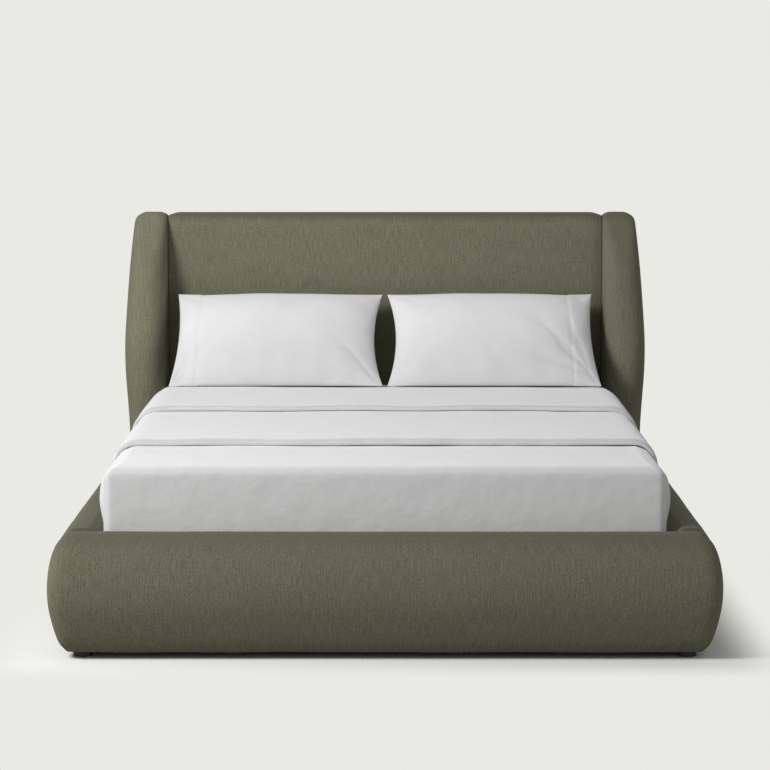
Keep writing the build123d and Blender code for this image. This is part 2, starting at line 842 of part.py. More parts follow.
def make_bedding():
    """Fitted sheet, tucked cover, thicker cover and its turned-back fold."""
    base = half_mattress + layer_gap
    sheet_half = base + sheet_thickness
    low_y = mattress_foot_y - layer_gap
    high_y = mattress_head_y + layer_gap
    radius = mattress_corner_radius + layer_gap
    sheet = rounded_slab(
        sheet_half, low_y - sheet_thickness, high_y + sheet_thickness,
        sheet_top - sheet_drop, sheet_top, radius + sheet_thickness,
    )
    sheet = fillet(sheet.edges().group_by(Axis.Z)[-1], mattress_edge_radius + sheet_thickness)
    room = rounded_slab(base, low_y, high_y, mattress_bottom - overrun,
                        mattress_top + layer_gap, radius)
    room = fillet(room.edges().group_by(Axis.Z)[-1], mattress_edge_radius)

    cover_foot = low_y - sheet_thickness - layer_gap - cover_thickness
    cover_head = mattress_head_y - cover_head_gap
    hem_z = cover_top - cover_drop
    bow_half = (cover_top - cover_shoulder - hem_z) / 2

    def side_bow(y, z):
        """How far the bedding's side bows out at a place, the same for every layer."""
        along = (y - cover_foot) / (cover_head - cover_foot)
        rise = (z - hem_z - bow_half) / bow_half
        return cover_bulge * (1 - bow_loss * along) * max(1 - rise * rise, 0)

    def bowed(stations, half, z_low, z_top, shoulder):
        """A drape whose side follows the shared bow at each station."""
        shoulder_z = z_top - shoulder
        middle_z = (z_low + shoulder_z) / 2
        return drape(
            [(y, *(half + side_bow(y, z) for z in (z_low, middle_z, shoulder_z))) for y in stations],
            z_low, z_top, shoulder,
        )

    def shell(half_inside, top_inside, wall, side_wall, drop, foot_y, head_y, foot_wall):
        """An open-bottomed drape of the given walls over what lies inside it."""
        z_top = top_inside + wall
        z_low = z_top - drop
        middle_y = (foot_y + head_y) / 2
        outer = bowed(
            (foot_y, middle_y, head_y), half_inside + side_wall, z_low, z_top, cover_shoulder
        )
        inner = bowed(
            (foot_y + foot_wall, middle_y, head_y + overrun), half_inside,
            z_low - overrun, top_inside, cover_shoulder - side_wall,
        )
        return outer, inner

    cover_out, cover_in = shell(
        sheet_half + layer_gap, sheet_top + layer_gap, cover_thickness, cover_thickness,
        cover_drop, cover_foot, cover_head, cover_thickness,
    )
    inner_roll = cover_shoulder - cover_thickness
    duvet_foot = mattress_foot_y + duvet_foot_gap
    duvet_head = mattress_head_y - duvet_head_gap
    cover_half = sheet_half + layer_gap + cover_thickness
    duvet_out, duvet_in = shell(
        cover_half + layer_gap, cover_top + layer_gap, duvet_thickness, duvet_side_thickness,
        duvet_drop, duvet_foot, duvet_head, -overrun,
    )
    fold_foot = mattress_foot_y + fold_foot_gap
    fold_head = mattress_head_y - fold_head_gap
    duvet_half = cover_half + layer_gap + duvet_side_thickness
    fold_out, fold_in = shell(
        duvet_half + fold_side_ease, duvet_top + layer_gap, fold_thickness, fold_side_thickness,
        fold_drop, fold_foot, fold_head, -overrun,
    )

    def rolled(shape, radius):
        """The drape with its foot edge rounded over like a soft fold."""
        box = shape.bounding_box()
        wide, edge_y, edge_z = box.max.X + overrun, box.min.Y + radius, box.max.Z - radius
        corner = block(-wide, wide, box.min.Y - overrun, edge_y, edge_z, box.max.Z + overrun)
        roll = Rot(0, 90, 0) * Cylinder(radius, 2 * (wide + overrun))
        return shape - (corner - Pos(0, edge_y, edge_z) * roll)

    return {
        "fitted_sheet": sheet - room,
        "bed_cover": rolled(cover_out, cover_shoulder) - rolled(cover_in, inner_roll),
        "duvet": rolled(duvet_out, roll_radius) - duvet_in,
        "duvet_fold": rolled(fold_out, roll_radius) - fold_in,
    }


def pillow_outline(level, width, height, thickness):
    """One level of a pillow: four bowed sides, drawn in between the corners at the seam."""
    share, draw, bow_share = level
    z = share * thickness / 2
    half_w = width / 2 - draw * height / 2
    half_h = height / 2 - draw * height / 2
    bow = bow_share * height
    corners = [(-half_w, -half_h), (half_w, -half_h), (half_w, half_h), (-half_w, half_h)]
    middles = [(0, -half_h - bow), (half_w + bow, 0), (0, half_h + bow), (-half_w - bow, 0)]
    sides = []
    for index, middle in enumerate(middles):
        start, end = corners[index], corners[(index + 1) % 4]
        sides.append(ThreePointArc((*start, z), (*middle, z), (*end, z)))
    return Face(Wire(sides))


def pillow_body(width, height, thickness):
    """A crowned pillow lying flat, its seam on the XY plane."""
    faces = [pillow_outline(level, width, height, thickness) for level in pillow_section_share]
    half = loft(faces)
    return half + mirror(half, about=Plane.XY)


def make_pillows():
    """Two pillows in their cases, leaning on the headboard."""
    lean = math.radians(pillow_lean)
    base_y = mattress_head_y - pillow_head_gap
    base_z = fold_top + pillow_base_rise
    middle_x = pillow_middle_gap + pillow_width / 2
    seat = Plane(
        origin=(middle_x, base_y, base_z),
        x_dir=(1, 0, 0),
        z_dir=(0, -math.sin(lean), math.cos(lean)),
    )
    rise = Pos(0, pillow_height / 2, 0)
    skin = case_skin + layer_gap
    case_out = seat * rise * pillow_body(pillow_width, pillow_height, pillow_thickness)
    case_in = seat * rise * pillow_body(
        pillow_width - 2 * case_skin, pillow_height - 2 * case_skin,
        pillow_thickness - 2 * case_skin,
    )
    fill = seat * rise * pillow_body(
        pillow_width - 2 * skin, pillow_height - 2 * skin, pillow_thickness - 2 * skin
    )

    def trimmed(shape, lift):
        """The pillow's underside pressed flat where it rests on the fold."""
        floor_z = fold_top + rest_gap + lift
        wide = pillow_width + pillow_height
        under = block(-wide, wide, base_y - wide, base_y + wide, floor_z - wide, floor_z)
        return shape - under

    case = trimmed(case_out, 0) - trimmed(case_in, case_skin)
    fill = trimmed(fill, skin)
    return {
        "pillow_right_case": case,
        "pillow_right_filling": fill,
        "pillow_left_case": mirrored(case),
        "pillow_left_filling": mirrored(fill),
    }


makers = (
    make_foot_rail,
    make_side_rails,
    make_headboard,
    make_wings,
    make_joining_hardware,
    make_slat_support,
    make_centre_legs,
    make_feet,
    make_box_spring,
    make_mattress,
    make_bedding,
    make_pillows,
)

os.makedirs("parts", exist_ok=True)
for maker in makers:
    for name, shape in maker().items():
        export_step(shape, f"parts/{name}.step")
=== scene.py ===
"""An upholstered wing bed, made up with white bedding and two pillows."""

import json
import logging
import math
from collections.abc import Callable, Sequence
from dataclasses import dataclass
from enum import Enum

import bmesh
import bpy
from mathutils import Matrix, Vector, noise

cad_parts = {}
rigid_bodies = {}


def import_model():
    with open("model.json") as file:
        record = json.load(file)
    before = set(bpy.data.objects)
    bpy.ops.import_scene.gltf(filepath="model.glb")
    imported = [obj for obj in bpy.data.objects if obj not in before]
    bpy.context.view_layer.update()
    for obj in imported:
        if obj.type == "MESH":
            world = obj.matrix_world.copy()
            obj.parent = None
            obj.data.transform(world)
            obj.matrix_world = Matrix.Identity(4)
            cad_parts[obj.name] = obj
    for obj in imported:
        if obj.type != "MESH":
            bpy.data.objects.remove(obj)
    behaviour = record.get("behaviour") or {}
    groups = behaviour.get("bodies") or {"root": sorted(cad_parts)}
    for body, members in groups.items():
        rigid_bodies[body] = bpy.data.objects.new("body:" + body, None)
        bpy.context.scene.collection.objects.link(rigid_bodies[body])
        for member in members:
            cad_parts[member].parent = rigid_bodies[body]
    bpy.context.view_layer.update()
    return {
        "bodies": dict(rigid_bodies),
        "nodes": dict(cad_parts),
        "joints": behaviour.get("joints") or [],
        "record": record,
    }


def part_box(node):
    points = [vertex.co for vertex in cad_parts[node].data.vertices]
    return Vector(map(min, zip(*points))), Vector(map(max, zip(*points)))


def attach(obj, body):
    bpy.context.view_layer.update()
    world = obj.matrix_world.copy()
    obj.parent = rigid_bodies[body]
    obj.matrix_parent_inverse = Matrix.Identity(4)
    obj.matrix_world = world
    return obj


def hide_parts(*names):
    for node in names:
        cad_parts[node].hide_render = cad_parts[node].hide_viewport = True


log = logging.getLogger("bed")
Place = Callable[[float, float, float], Vector]
Table = Sequence[tuple[float, ...]]
Filler = Callable[["Graph", bpy.types.NodeSocket], dict[str, bpy.types.NodeSocket]]
# How deep the pillows press into the turned-back layer.
PILLOW_DENT = 0.008
# The least room between two layers of bedding.
LAYER_GAP = 0.0006


def smooth(low: float, high: float, value: float) -> float:
    """A smooth step from 0 at low to 1 at high.

    Args:
        low: Where the step starts.
        high: Where the step ends.
        value: Where it is read.

    Returns:
        The step's height, from 0 to 1.
    """
    t = min(max((value - low) / (high - low), 0.0), 1.0)
    return t * t * (3 - 2 * t)


def read_table(table: Table, share: float, column: int) -> float:
    """Reads an evenly spaced table between its rows with a smooth curve.

    Args:
        table: Rows at even steps from 0 to 1.
        share: Where to read, from 0 to 1.
        column: Which column to read.

    Returns:
        The value there.
    """
    last = len(table) - 1
    place = min(max(share, 0.0), 1.0) * last
    index = min(int(place), last - 1)
    t = place - index
    rows = [table[min(max(index + step, 0), last)][column] for step in (-1, 0, 1, 2)]
    a, b, c, d = rows
    bend = 2 * a - 5 * b + 4 * c - d
    return b + 0.5 * t * (c - a + t * (bend + t * (3 * (b - c) + d - a)))


def rounded(
    x: float, y: float, half_x: float, half_y: float, radius: float, depth: float = 0.0
) -> tuple[float, float]:
    """Moves a point of a rectangle so that the rectangle's corners become round.

    Args:
        x: Place across, from the middle.
        y: Place along, from the middle.
        half_x: Half the width.
        half_y: Half the length.
        radius: The corner's radius across.
        depth: The corner's radius along, the same as across when it is 0.

    Returns:
        The moved place.
    """
    depth = depth or radius
    inner_x, inner_y = half_x - radius, half_y - depth
    over_x, over_y = (abs(x) - inner_x) / radius, (abs(y) - inner_y) / depth
    if over_x <= 0 or over_y <= 0:
        return x, y
    scale = max(over_x, over_y) / math.hypot(over_x, over_y)
    return (
        math.copysign(inner_x + over_x * scale * radius, x),
        math.copysign(inner_y + over_y * scale * depth, y),
    )


def sliced_box(
    across: int, along: int, up: int, ease: tuple[float, float, float] = (1.0, 1.0, 1.0)
) -> bmesh.types.BMesh:
    """A unit box from 0 to 1 on each axis, sliced closer near its edges.

    Args:
        across: Number of strips in X.
        along: Number of strips in Y.
        up: Number of strips in Z.
        ease: How strongly the slices gather at the ends of each axis; 1 is even.

    Returns:
        The new bmesh.
    """
    bm = bmesh.new()
    bmesh.ops.create_cube(bm, size=1)
    bmesh.ops.translate(bm, verts=bm.verts, vec=(0.5, 0.5, 0.5))
    for axis, count in enumerate((across, along, up)):
        normal = Vector((axis == 0, axis == 1, axis == 2))
        for index in range(1, count):
            even = 2 * index / count - 1
            share = 0.5 + 0.5 * math.copysign(1 - (1 - abs(even)) ** ease[axis], even)
            geom = bm.verts[:] + bm.edges[:] + bm.faces[:]
            bmesh.ops.bisect_plane(bm, geom=geom, plane_co=normal * share, plane_no=normal)
    return bm


def sliced_sheet(across: int, along: int) -> bmesh.types.BMesh:
    """A unit square from 0 to 1, in even cells.

    Args:
        across: Number of cells in X.
        along: Number of cells in Y.

    Returns:
        The new bmesh.
    """
    bm = bmesh.new()
    bmesh.ops.create_grid(bm, x_segments=across, y_segments=along, size=0.5)
    bmesh.ops.translate(bm, verts=bm.verts, vec=(0.5, 0.5, 0))
    return bm


def place_all(bm: bmesh.types.BMesh, place: Place) -> None:
    """Moves every vertex from its share of the box to its place on the piece.

    Args:
        bm: The sliced box or sheet.
        place: Gives the place of a share.
    """
    for vert in bm.verts:
        vert.co = place(*vert.co)
    bmesh.ops.recalc_face_normals(bm, faces=bm.faces)


def map_cloth(bm: bmesh.types.BMesh, size: Vector, front: int) -> None:
    """Writes the cloth map, in metres, on a sliced box that isn't placed yet.

    The cloth's threads run up the piece, and it wraps round the upright corners.

    Args:
        bm: The box, from 0 to 1 on each axis.
        size: The piece's size.
        front: The axis that the widest upright faces look along: 0 for X, 1 for Y.
    """
    bm.normal_update()
    layer = bm.loops.layers.uv.new("cloth")
    for face in bm.faces:
        axis = max(range(3), key=lambda index: abs(face.normal[index]))
        turn = face.normal[axis] > 0
        for loop in face.loops:
            x, y, z = (share * length for share, length in zip(loop.vert.co, size))
            if front == 1:
                u = x if axis else (size.x + y if turn else -y)
                v = z + (y if axis == 2 else 0)
            else:
                u = (y if turn else -size.x - y) if axis == 0 else y
                if axis == 1:
                    u = size.y + size.x - x if turn else x - size.x
                v = z + (size.x - x if axis == 2 else 0)
            loop[layer].uv = (u, v)


def make_piece(
    name: str, bm: bmesh.types.BMesh, material: bpy.types.Material, levels: int = 0
) -> bpy.types.Object:
    """Turns a bmesh into a smooth-shaded piece.

    Args:
        name: The piece's name.
        bm: Its mesh, which is freed.
        material: Its finish.
        levels: Levels of subdivision surface.

    Returns:
        The new object.
    """
    mesh = bpy.data.meshes.new(name)
    for face in bm.faces:
        face.smooth = True
    bm.to_mesh(mesh)
    bm.free()
    piece = bpy.data.objects.new(name, mesh)
    bpy.context.scene.collection.objects.link(piece)
    mesh.materials.append(material)
    if levels:
        surface = piece.modifiers.new("surface", "SUBSURF")
        surface.levels = surface.render_levels = levels
    return piece


def sheet_area(piece: bpy.types.Object) -> float:
    """The area of a piece's mesh, in square metres."""
    return sum(face.area for face in piece.data.polygons)


class Graph:
    """A material's or a group's node tree, with short calls to fill it."""

    def __init__(self, tree: bpy.types.NodeTree) -> None:
        """Keeps the tree."""
        self.tree = tree

    def add(self, kind: str, **values: object) -> bpy.types.Node:
        """Adds a node and sets or links its inputs.

        Args:
            kind: The node's type.
            **values: Attributes, or inputs by name with underscores for spaces.

        Returns:
            The new node.
        """
        node = self.tree.nodes.new(kind)
        for key, value in values.items():
            if hasattr(node, key):
                setattr(node, key, value)
                continue
            sockets = [s for s in node.inputs if s.name == key.replace("_", " ") and s.enabled]
            socket = sockets[0]
            if isinstance(value, bpy.types.NodeSocket):
                self.tree.links.new(value, socket)
            else:
                socket.default_value = value
        return node

    def math(self, kind: str, first: object, second: object) -> bpy.types.NodeSocket:
        """A Math node of two inputs.

        Args:
            kind: The operation.
            first: A socket or a number.
            second: A socket or a number.

        Returns:
            The result's socket.
        """
        node = self.tree.nodes.new("ShaderNodeMath")
        node.operation = kind
        for socket, value in zip(node.inputs, (first, second)):
            if isinstance(value, bpy.types.NodeSocket):
                self.tree.links.new(value, socket)
            else:
                socket.default_value = value
        return node.outputs[0]

    def blend(self, share: object, first: object, second: object) -> bpy.types.NodeSocket:
        """A colour mix.

        Args:
            share: How much of the second colour, as a socket or a number.
            first: A socket or a colour.
            second: A socket or a colour.

        Returns:
            The mixed colour's socket.
        """
        node = self.tree.nodes.new("ShaderNodeMix")
        node.data_type = "RGBA"
        for index, value in ((0, share), (6, first), (7, second)):
            if isinstance(value, bpy.types.NodeSocket):
                self.tree.links.new(value, node.inputs[index])
            else:
                node.inputs[index].default_value = value
        return node.outputs[2]

    def noise(
        self, place: bpy.types.NodeSocket, stretch: tuple[float, float, float], detail: float
    ) -> bpy.types.NodeSocket:
        """Noise on a stretched place, as a value from 0 to 1.

        Args:
            place: The coordinates.
            stretch: Cells a metre on each axis.
            detail: Octaves.

        Returns:
            The value's socket.
        """
        mapping = self.add("ShaderNodeMapping", Vector=place, Scale=stretch)
        texture = self.add("ShaderNodeTexNoise", Vector=mapping.outputs[0], Scale=1.0, Detail=detail)
        return texture.outputs[0]

    def join(self, surface: bpy.types.Node, colour: bpy.types.NodeSocket, bump: bpy.types.Node) -> None:
        """Joins a colour and a bump to a surface node.

        Args:
            surface: The surface node.
            colour: The colour's socket.
            bump: The last bump node.
        """
        self.tree.links.new(colour, surface.inputs["Base Color"])
        self.tree.links.new(bump.outputs[0], surface.inputs["Normal"])


def make_group(name: str, fill: Filler) -> bpy.types.NodeTree:
    """Makes a shader group with a Vector input and value outputs.

    Args:
        name: The group's name.
        fill: Makes the nodes and returns the outputs by name.

    Returns:
        The node group.
    """
    tree = bpy.data.node_groups.new(name, "ShaderNodeTree")
    tree.interface.new_socket("Vector", in_out="INPUT", socket_type="NodeSocketVector")
    start = tree.nodes.new("NodeGroupInput")
    outputs = fill(Graph(tree), start.outputs[0])
    for output in outputs:
        tree.interface.new_socket(output, in_out="OUTPUT", socket_type="NodeSocketFloat")
    end = tree.nodes.new("NodeGroupOutput")
    for output, socket in outputs.items():
        tree.links.new(socket, end.inputs[output])
    return tree


def slub_weave(graph: Graph, place: bpy.types.NodeSocket) -> dict[str, bpy.types.NodeSocket]:
    """Irregular thick threads that run up the cloth, with short flecks.

    Args:
        graph: The group's nodes.
        place: The cloth's coordinates.

    Returns:
        The group's outputs by name.
    """
    long_pitch, short_pitch = (270.0, 22.0, 1.0), (520.0, 150.0, 1.0)
    patch_pitch, fleck_pitch = (9.0, 3.0, 1.0), (420.0, 300.0, 1.0)
    long_share, short_share, fleck_share = 0.45, 0.55, 0.6
    slub_detail, patch_detail, fleck_detail = 2.0, 3.0, 1.0
    long_slub = graph.noise(place, long_pitch, slub_detail)
    short_slub = graph.noise(place, short_pitch, slub_detail)
    patch = graph.noise(place, patch_pitch, patch_detail)
    fleck = graph.noise(place, fleck_pitch, fleck_detail)
    long_part = graph.math("MULTIPLY", long_slub, long_share)
    streak = graph.math("ADD", long_part, graph.math("MULTIPLY", short_slub, short_share))
    raised = graph.math("ADD", streak, graph.math("MULTIPLY", fleck, fleck_share))
    return {"Streak": streak, "Patch": patch, "Fleck": fleck, "Height": raised}


def plain_weave(graph: Graph, place: bpy.types.NodeSocket) -> dict[str, bpy.types.NodeSocket]:
    """A fine plain weave with a little unevenness.

    Args:
        graph: The group's nodes.
        place: The piece's coordinates.

    Returns:
        The group's outputs by name.
    """
    across_thread, along_thread = 1400.0, 160.0
    crease_pitch = (14.0, 10.0, 14.0)
    thread_detail, crease_detail, thread_share = 1.0, 4.0, 0.5
    warp = graph.noise(place, (across_thread, along_thread, along_thread), thread_detail)
    weft = graph.noise(place, (along_thread, across_thread, across_thread), thread_detail)
    crease = graph.noise(place, crease_pitch, crease_detail)
    warp_part = graph.math("MULTIPLY", warp, thread_share)
    height = graph.math("ADD", warp_part, graph.math("MULTIPLY", weft, thread_share))
    return {"Height": height, "Crease": crease}


@dataclass(frozen=True)
class Finish:
    """A plain finish: two colours mixed by a stretched grain, with a little relief."""

    name: str
    light: tuple[float, float, float]
    dark: tuple[float, float, float]
    roughness: float
    stretch: tuple[float, float, float] = (60.0, 60.0, 60.0)
    metallic: float = 0.0
    relief: float = 0.2
    relief_depth: float = 0.001
    grain_detail: float = 4.0

    def shader(self) -> tuple[bpy.types.Material, Graph, bpy.types.Node]:
        """Starts the material with its roughness and metal.

        Returns:
            The material, its nodes and its surface node.
        """
        material = bpy.data.materials.new(self.name)
        material.use_nodes = True
        graph = Graph(material.node_tree)
        surface = material.node_tree.nodes["Principled BSDF"]
        surface.inputs["Roughness"].default_value = self.roughness
        surface.inputs["Metallic"].default_value = self.metallic
        return material, graph, surface

    def build(self) -> bpy.types.Material:
        """Builds the material, with its grain on Object coordinates.

        Returns:
            The material.
        """
        material, graph, surface = self.shader()
        place = graph.add("ShaderNodeTexCoord").outputs["Object"]
        grain = graph.noise(place, self.stretch, self.grain_detail)
        colour = graph.blend(grain, (*self.dark, 1), (*self.light, 1))
        bump = graph.add(
            "ShaderNodeBump", Height=grain, Strength=self.relief, Distance=self.relief_depth
        )
        graph.join(surface, colour, bump)
        return material


@dataclass(frozen=True)
class SlubFinish(Finish):
    """The bed's heavy woven cloth: slubs run up it, on the piece's own cloth map, with painted shade on the
    faces that look up.
    """

    # How strongly the painted shade darkens the faces that look up, read from the crown attribute.
    painted_top_shade: float = 0.66
    streak_from: float = 0.36
    streak_to: float = 0.64
    fleck_from: float = 0.57
    fleck_to: float = 0.74
    patch_share: float = 0.35
    fleck_share: float = 0.55
    pale_part: float = 1.5
    # The painted top shade's colour, as a share of the dark thread colour.
    top_shade_part: float = 0.5

    def build(self) -> bpy.types.Material:
        """Builds the material, with its weave on the cloth map.

        Returns:
            The material.
        """
        material, graph, surface = self.shader()
        place = graph.add("ShaderNodeUVMap", uv_map="cloth").outputs[0]
        group = bpy.data.node_groups.get("slub weave") or make_group("slub weave", slub_weave)
        weave = graph.add("ShaderNodeGroup", node_tree=group, Vector=place)
        streak = graph.add(
            "ShaderNodeMapRange", Value=weave.outputs["Streak"],
            From_Min=self.streak_from, From_Max=self.streak_to,
        ).outputs[0]
        fleck = graph.add(
            "ShaderNodeMapRange", Value=weave.outputs["Fleck"],
            From_Min=self.fleck_from, From_Max=self.fleck_to,
        ).outputs[0]
        colour = graph.blend(streak, (*self.dark, 1), (*self.light, 1))
        patch = graph.math("MULTIPLY", weave.outputs["Patch"], self.patch_share)
        colour = graph.blend(patch, colour, (*self.dark, 1))
        pale = tuple(self.pale_part * part for part in self.light)
        colour = graph.blend(graph.math("MULTIPLY", fleck, self.fleck_share), colour, (*pale, 1))
        # Painted shade: the cloth gets darker on the faces that look up, by the crown attribute.
        top_shade = graph.add("ShaderNodeAttribute", attribute_name="crown").outputs["Fac"]
        deep = tuple(self.top_shade_part * part for part in self.dark)
        colour = graph.blend(graph.math("MULTIPLY", top_shade, self.painted_top_shade), colour, (*deep, 1))
        bump = graph.add(
            "ShaderNodeBump", Height=weave.outputs["Height"], Strength=self.relief,
            Distance=self.relief_depth,
        )
        graph.join(surface, colour, bump)
        return material


@dataclass(frozen=True)
class LinenFinish(Finish):
    """Washed cotton bedding: a fine plain weave, soft creases and painted shade read from a vertex
    attribute.
    """

    # The painted shade's colour, as a share of the dark colour.
    shade_part: float = 0.45
    crease_strength: float = 0.25
    crease_depth: float = 0.012
    sheen: float = 0.15

    def build(self) -> bpy.types.Material:
        """Builds the material, with its weave on Object coordinates.

        Returns:
            The material.
        """
        material, graph, surface = self.shader()
        place = graph.add("ShaderNodeTexCoord").outputs["Object"]
        group = bpy.data.node_groups.get("plain weave") or make_group("plain weave", plain_weave)
        weave = graph.add("ShaderNodeGroup", node_tree=group, Vector=place)
        colour = graph.blend(weave.outputs["Crease"], (*self.dark, 1), (*self.light, 1))
        # Painted shade: the vertex attribute darkens the linen wherever the pieces set it.
        painted_shade = graph.add("ShaderNodeAttribute", attribute_name="painted_shade").outputs["Fac"]
        shade = tuple(self.shade_part * part for part in self.dark)
        colour = graph.blend(painted_shade, colour, (*shade, 1))
        crease = graph.add(
            "ShaderNodeBump", Height=weave.outputs["Crease"],
            Strength=self.crease_strength, Distance=self.crease_depth,
        )
        bump = graph.add(
            "ShaderNodeBump", Height=weave.outputs["Height"], Strength=self.relief,
            Distance=self.relief_depth, Normal=crease.outputs[0],
        )
        surface.inputs["Sheen Weight"].default_value = self.sheen
        graph.join(surface, colour, bump)
        return material


class Slot(Enum):
    """The record's material slots and the finish of each."""

    upholstery = SlubFinish(
        "upholstery", (0.255, 0.252, 0.172), (0.125, 0.123, 0.078), 0.92, relief=1.0, relief_depth=0.002
    )
    bed_linen = LinenFinish(
        "bed_linen", (0.83, 0.83, 0.835), (0.79, 0.79, 0.8), 0.85, relief=0.15, relief_depth=0.0004
    )
    filling = Finish("filling", (0.9, 0.9, 0.88), (0.82, 0.82, 0.8), 0.95, (90, 90, 90))
    foam = Finish("foam", (0.86, 0.8, 0.58), (0.76, 0.69, 0.47), 0.9, (300, 300, 300))
    timber = Finish("timber", (0.72, 0.55, 0.36), (0.52, 0.37, 0.22), 0.6, (9, 9, 70))
    plywood = Finish("plywood", (0.7, 0.54, 0.36), (0.55, 0.4, 0.25), 0.65, (6, 60, 14))
    black_plastic = Finish("black_plastic", (0.05, 0.05, 0.05), (0.03, 0.03, 0.03), 0.5, (400, 400, 400))
    bracket_steel = Finish(
        "bracket_steel", (0.07, 0.07, 0.075), (0.04, 0.04, 0.045), 0.45, (250, 250, 250), 0.6
    )
    bolt_steel = Finish(
        "bolt_steel", (0.62, 0.62, 0.63), (0.48, 0.48, 0.5), 0.32, (300, 300, 300), 1.0
    )
    spring_wire = Finish(
        "spring_wire", (0.55, 0.55, 0.56), (0.4, 0.4, 0.42), 0.38, (200, 200, 200), 1.0
    )
    ticking = Finish("ticking", (0.85, 0.84, 0.8), (0.74, 0.73, 0.69), 0.9, (120, 260, 260))
    dust_cloth = Finish("dust_cloth", (0.1, 0.1, 0.1), (0.05, 0.05, 0.05), 0.95, (350, 350, 350))
    felt = Finish("felt", (0.42, 0.42, 0.41), (0.25, 0.25, 0.26), 0.97, (160, 160, 160))
    spring_pockets = Finish("spring_pockets", (0.88, 0.88, 0.88), (0.78, 0.78, 0.79), 0.9, (140, 140, 60))


class Wardrobe:
    """Every finish, built once, and put on the pieces that stay as they are."""

    def __init__(self) -> None:
        """Builds every finish."""
        self.materials = {slot.name: slot.value.build() for slot in Slot}

    def dress(self, frame: dict) -> None:
        """Gives each inner piece the finish of its slot.

        Args:
            frame: What the frame holds.
        """
        for part in frame["record"]["subparts"]:
            node = frame["nodes"][part["node"]]
            material = self.materials[part["material_slot"]]
            if not node.material_slots:
                node.data.materials.append(material)
            for slot in node.material_slots:
                slot.material = material


@dataclass
class Upholstery:
    """What the padded blocks of the bed share: cloth, body, levels and the painted shade on their tops."""

    cloth: bpy.types.Material
    body: str = "bed_frame"
    crown_rise: float = 0.003
    # Where the painted shade on the tops starts and where it is full, by how far a face looks up.
    top_shade_from: float = 0.05
    top_shade_full: float = 0.9

    def finish(self, name: str, bm: bmesh.types.BMesh, nodes: Sequence[str]) -> bpy.types.Object:
        """Makes the block's piece, which stands for its cover and padding.

        Args:
            name: The piece's name.
            bm: Its mesh.
            nodes: The nodes that it stands for.

        Returns:
            The piece.
        """
        bm.normal_update()
        # Painted shade: the crown attribute grows with how far each face looks up, and darkens the cloth
        # there.
        crown = bm.verts.layers.float.new("crown")
        for vert in bm.verts:
            vert[crown] = smooth(self.top_shade_from, self.top_shade_full, vert.normal.z)
        piece = make_piece(name, bm, self.cloth, 1)
        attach(piece, self.body)
        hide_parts(*nodes)
        log.info("upholstered %s", name)
        return piece


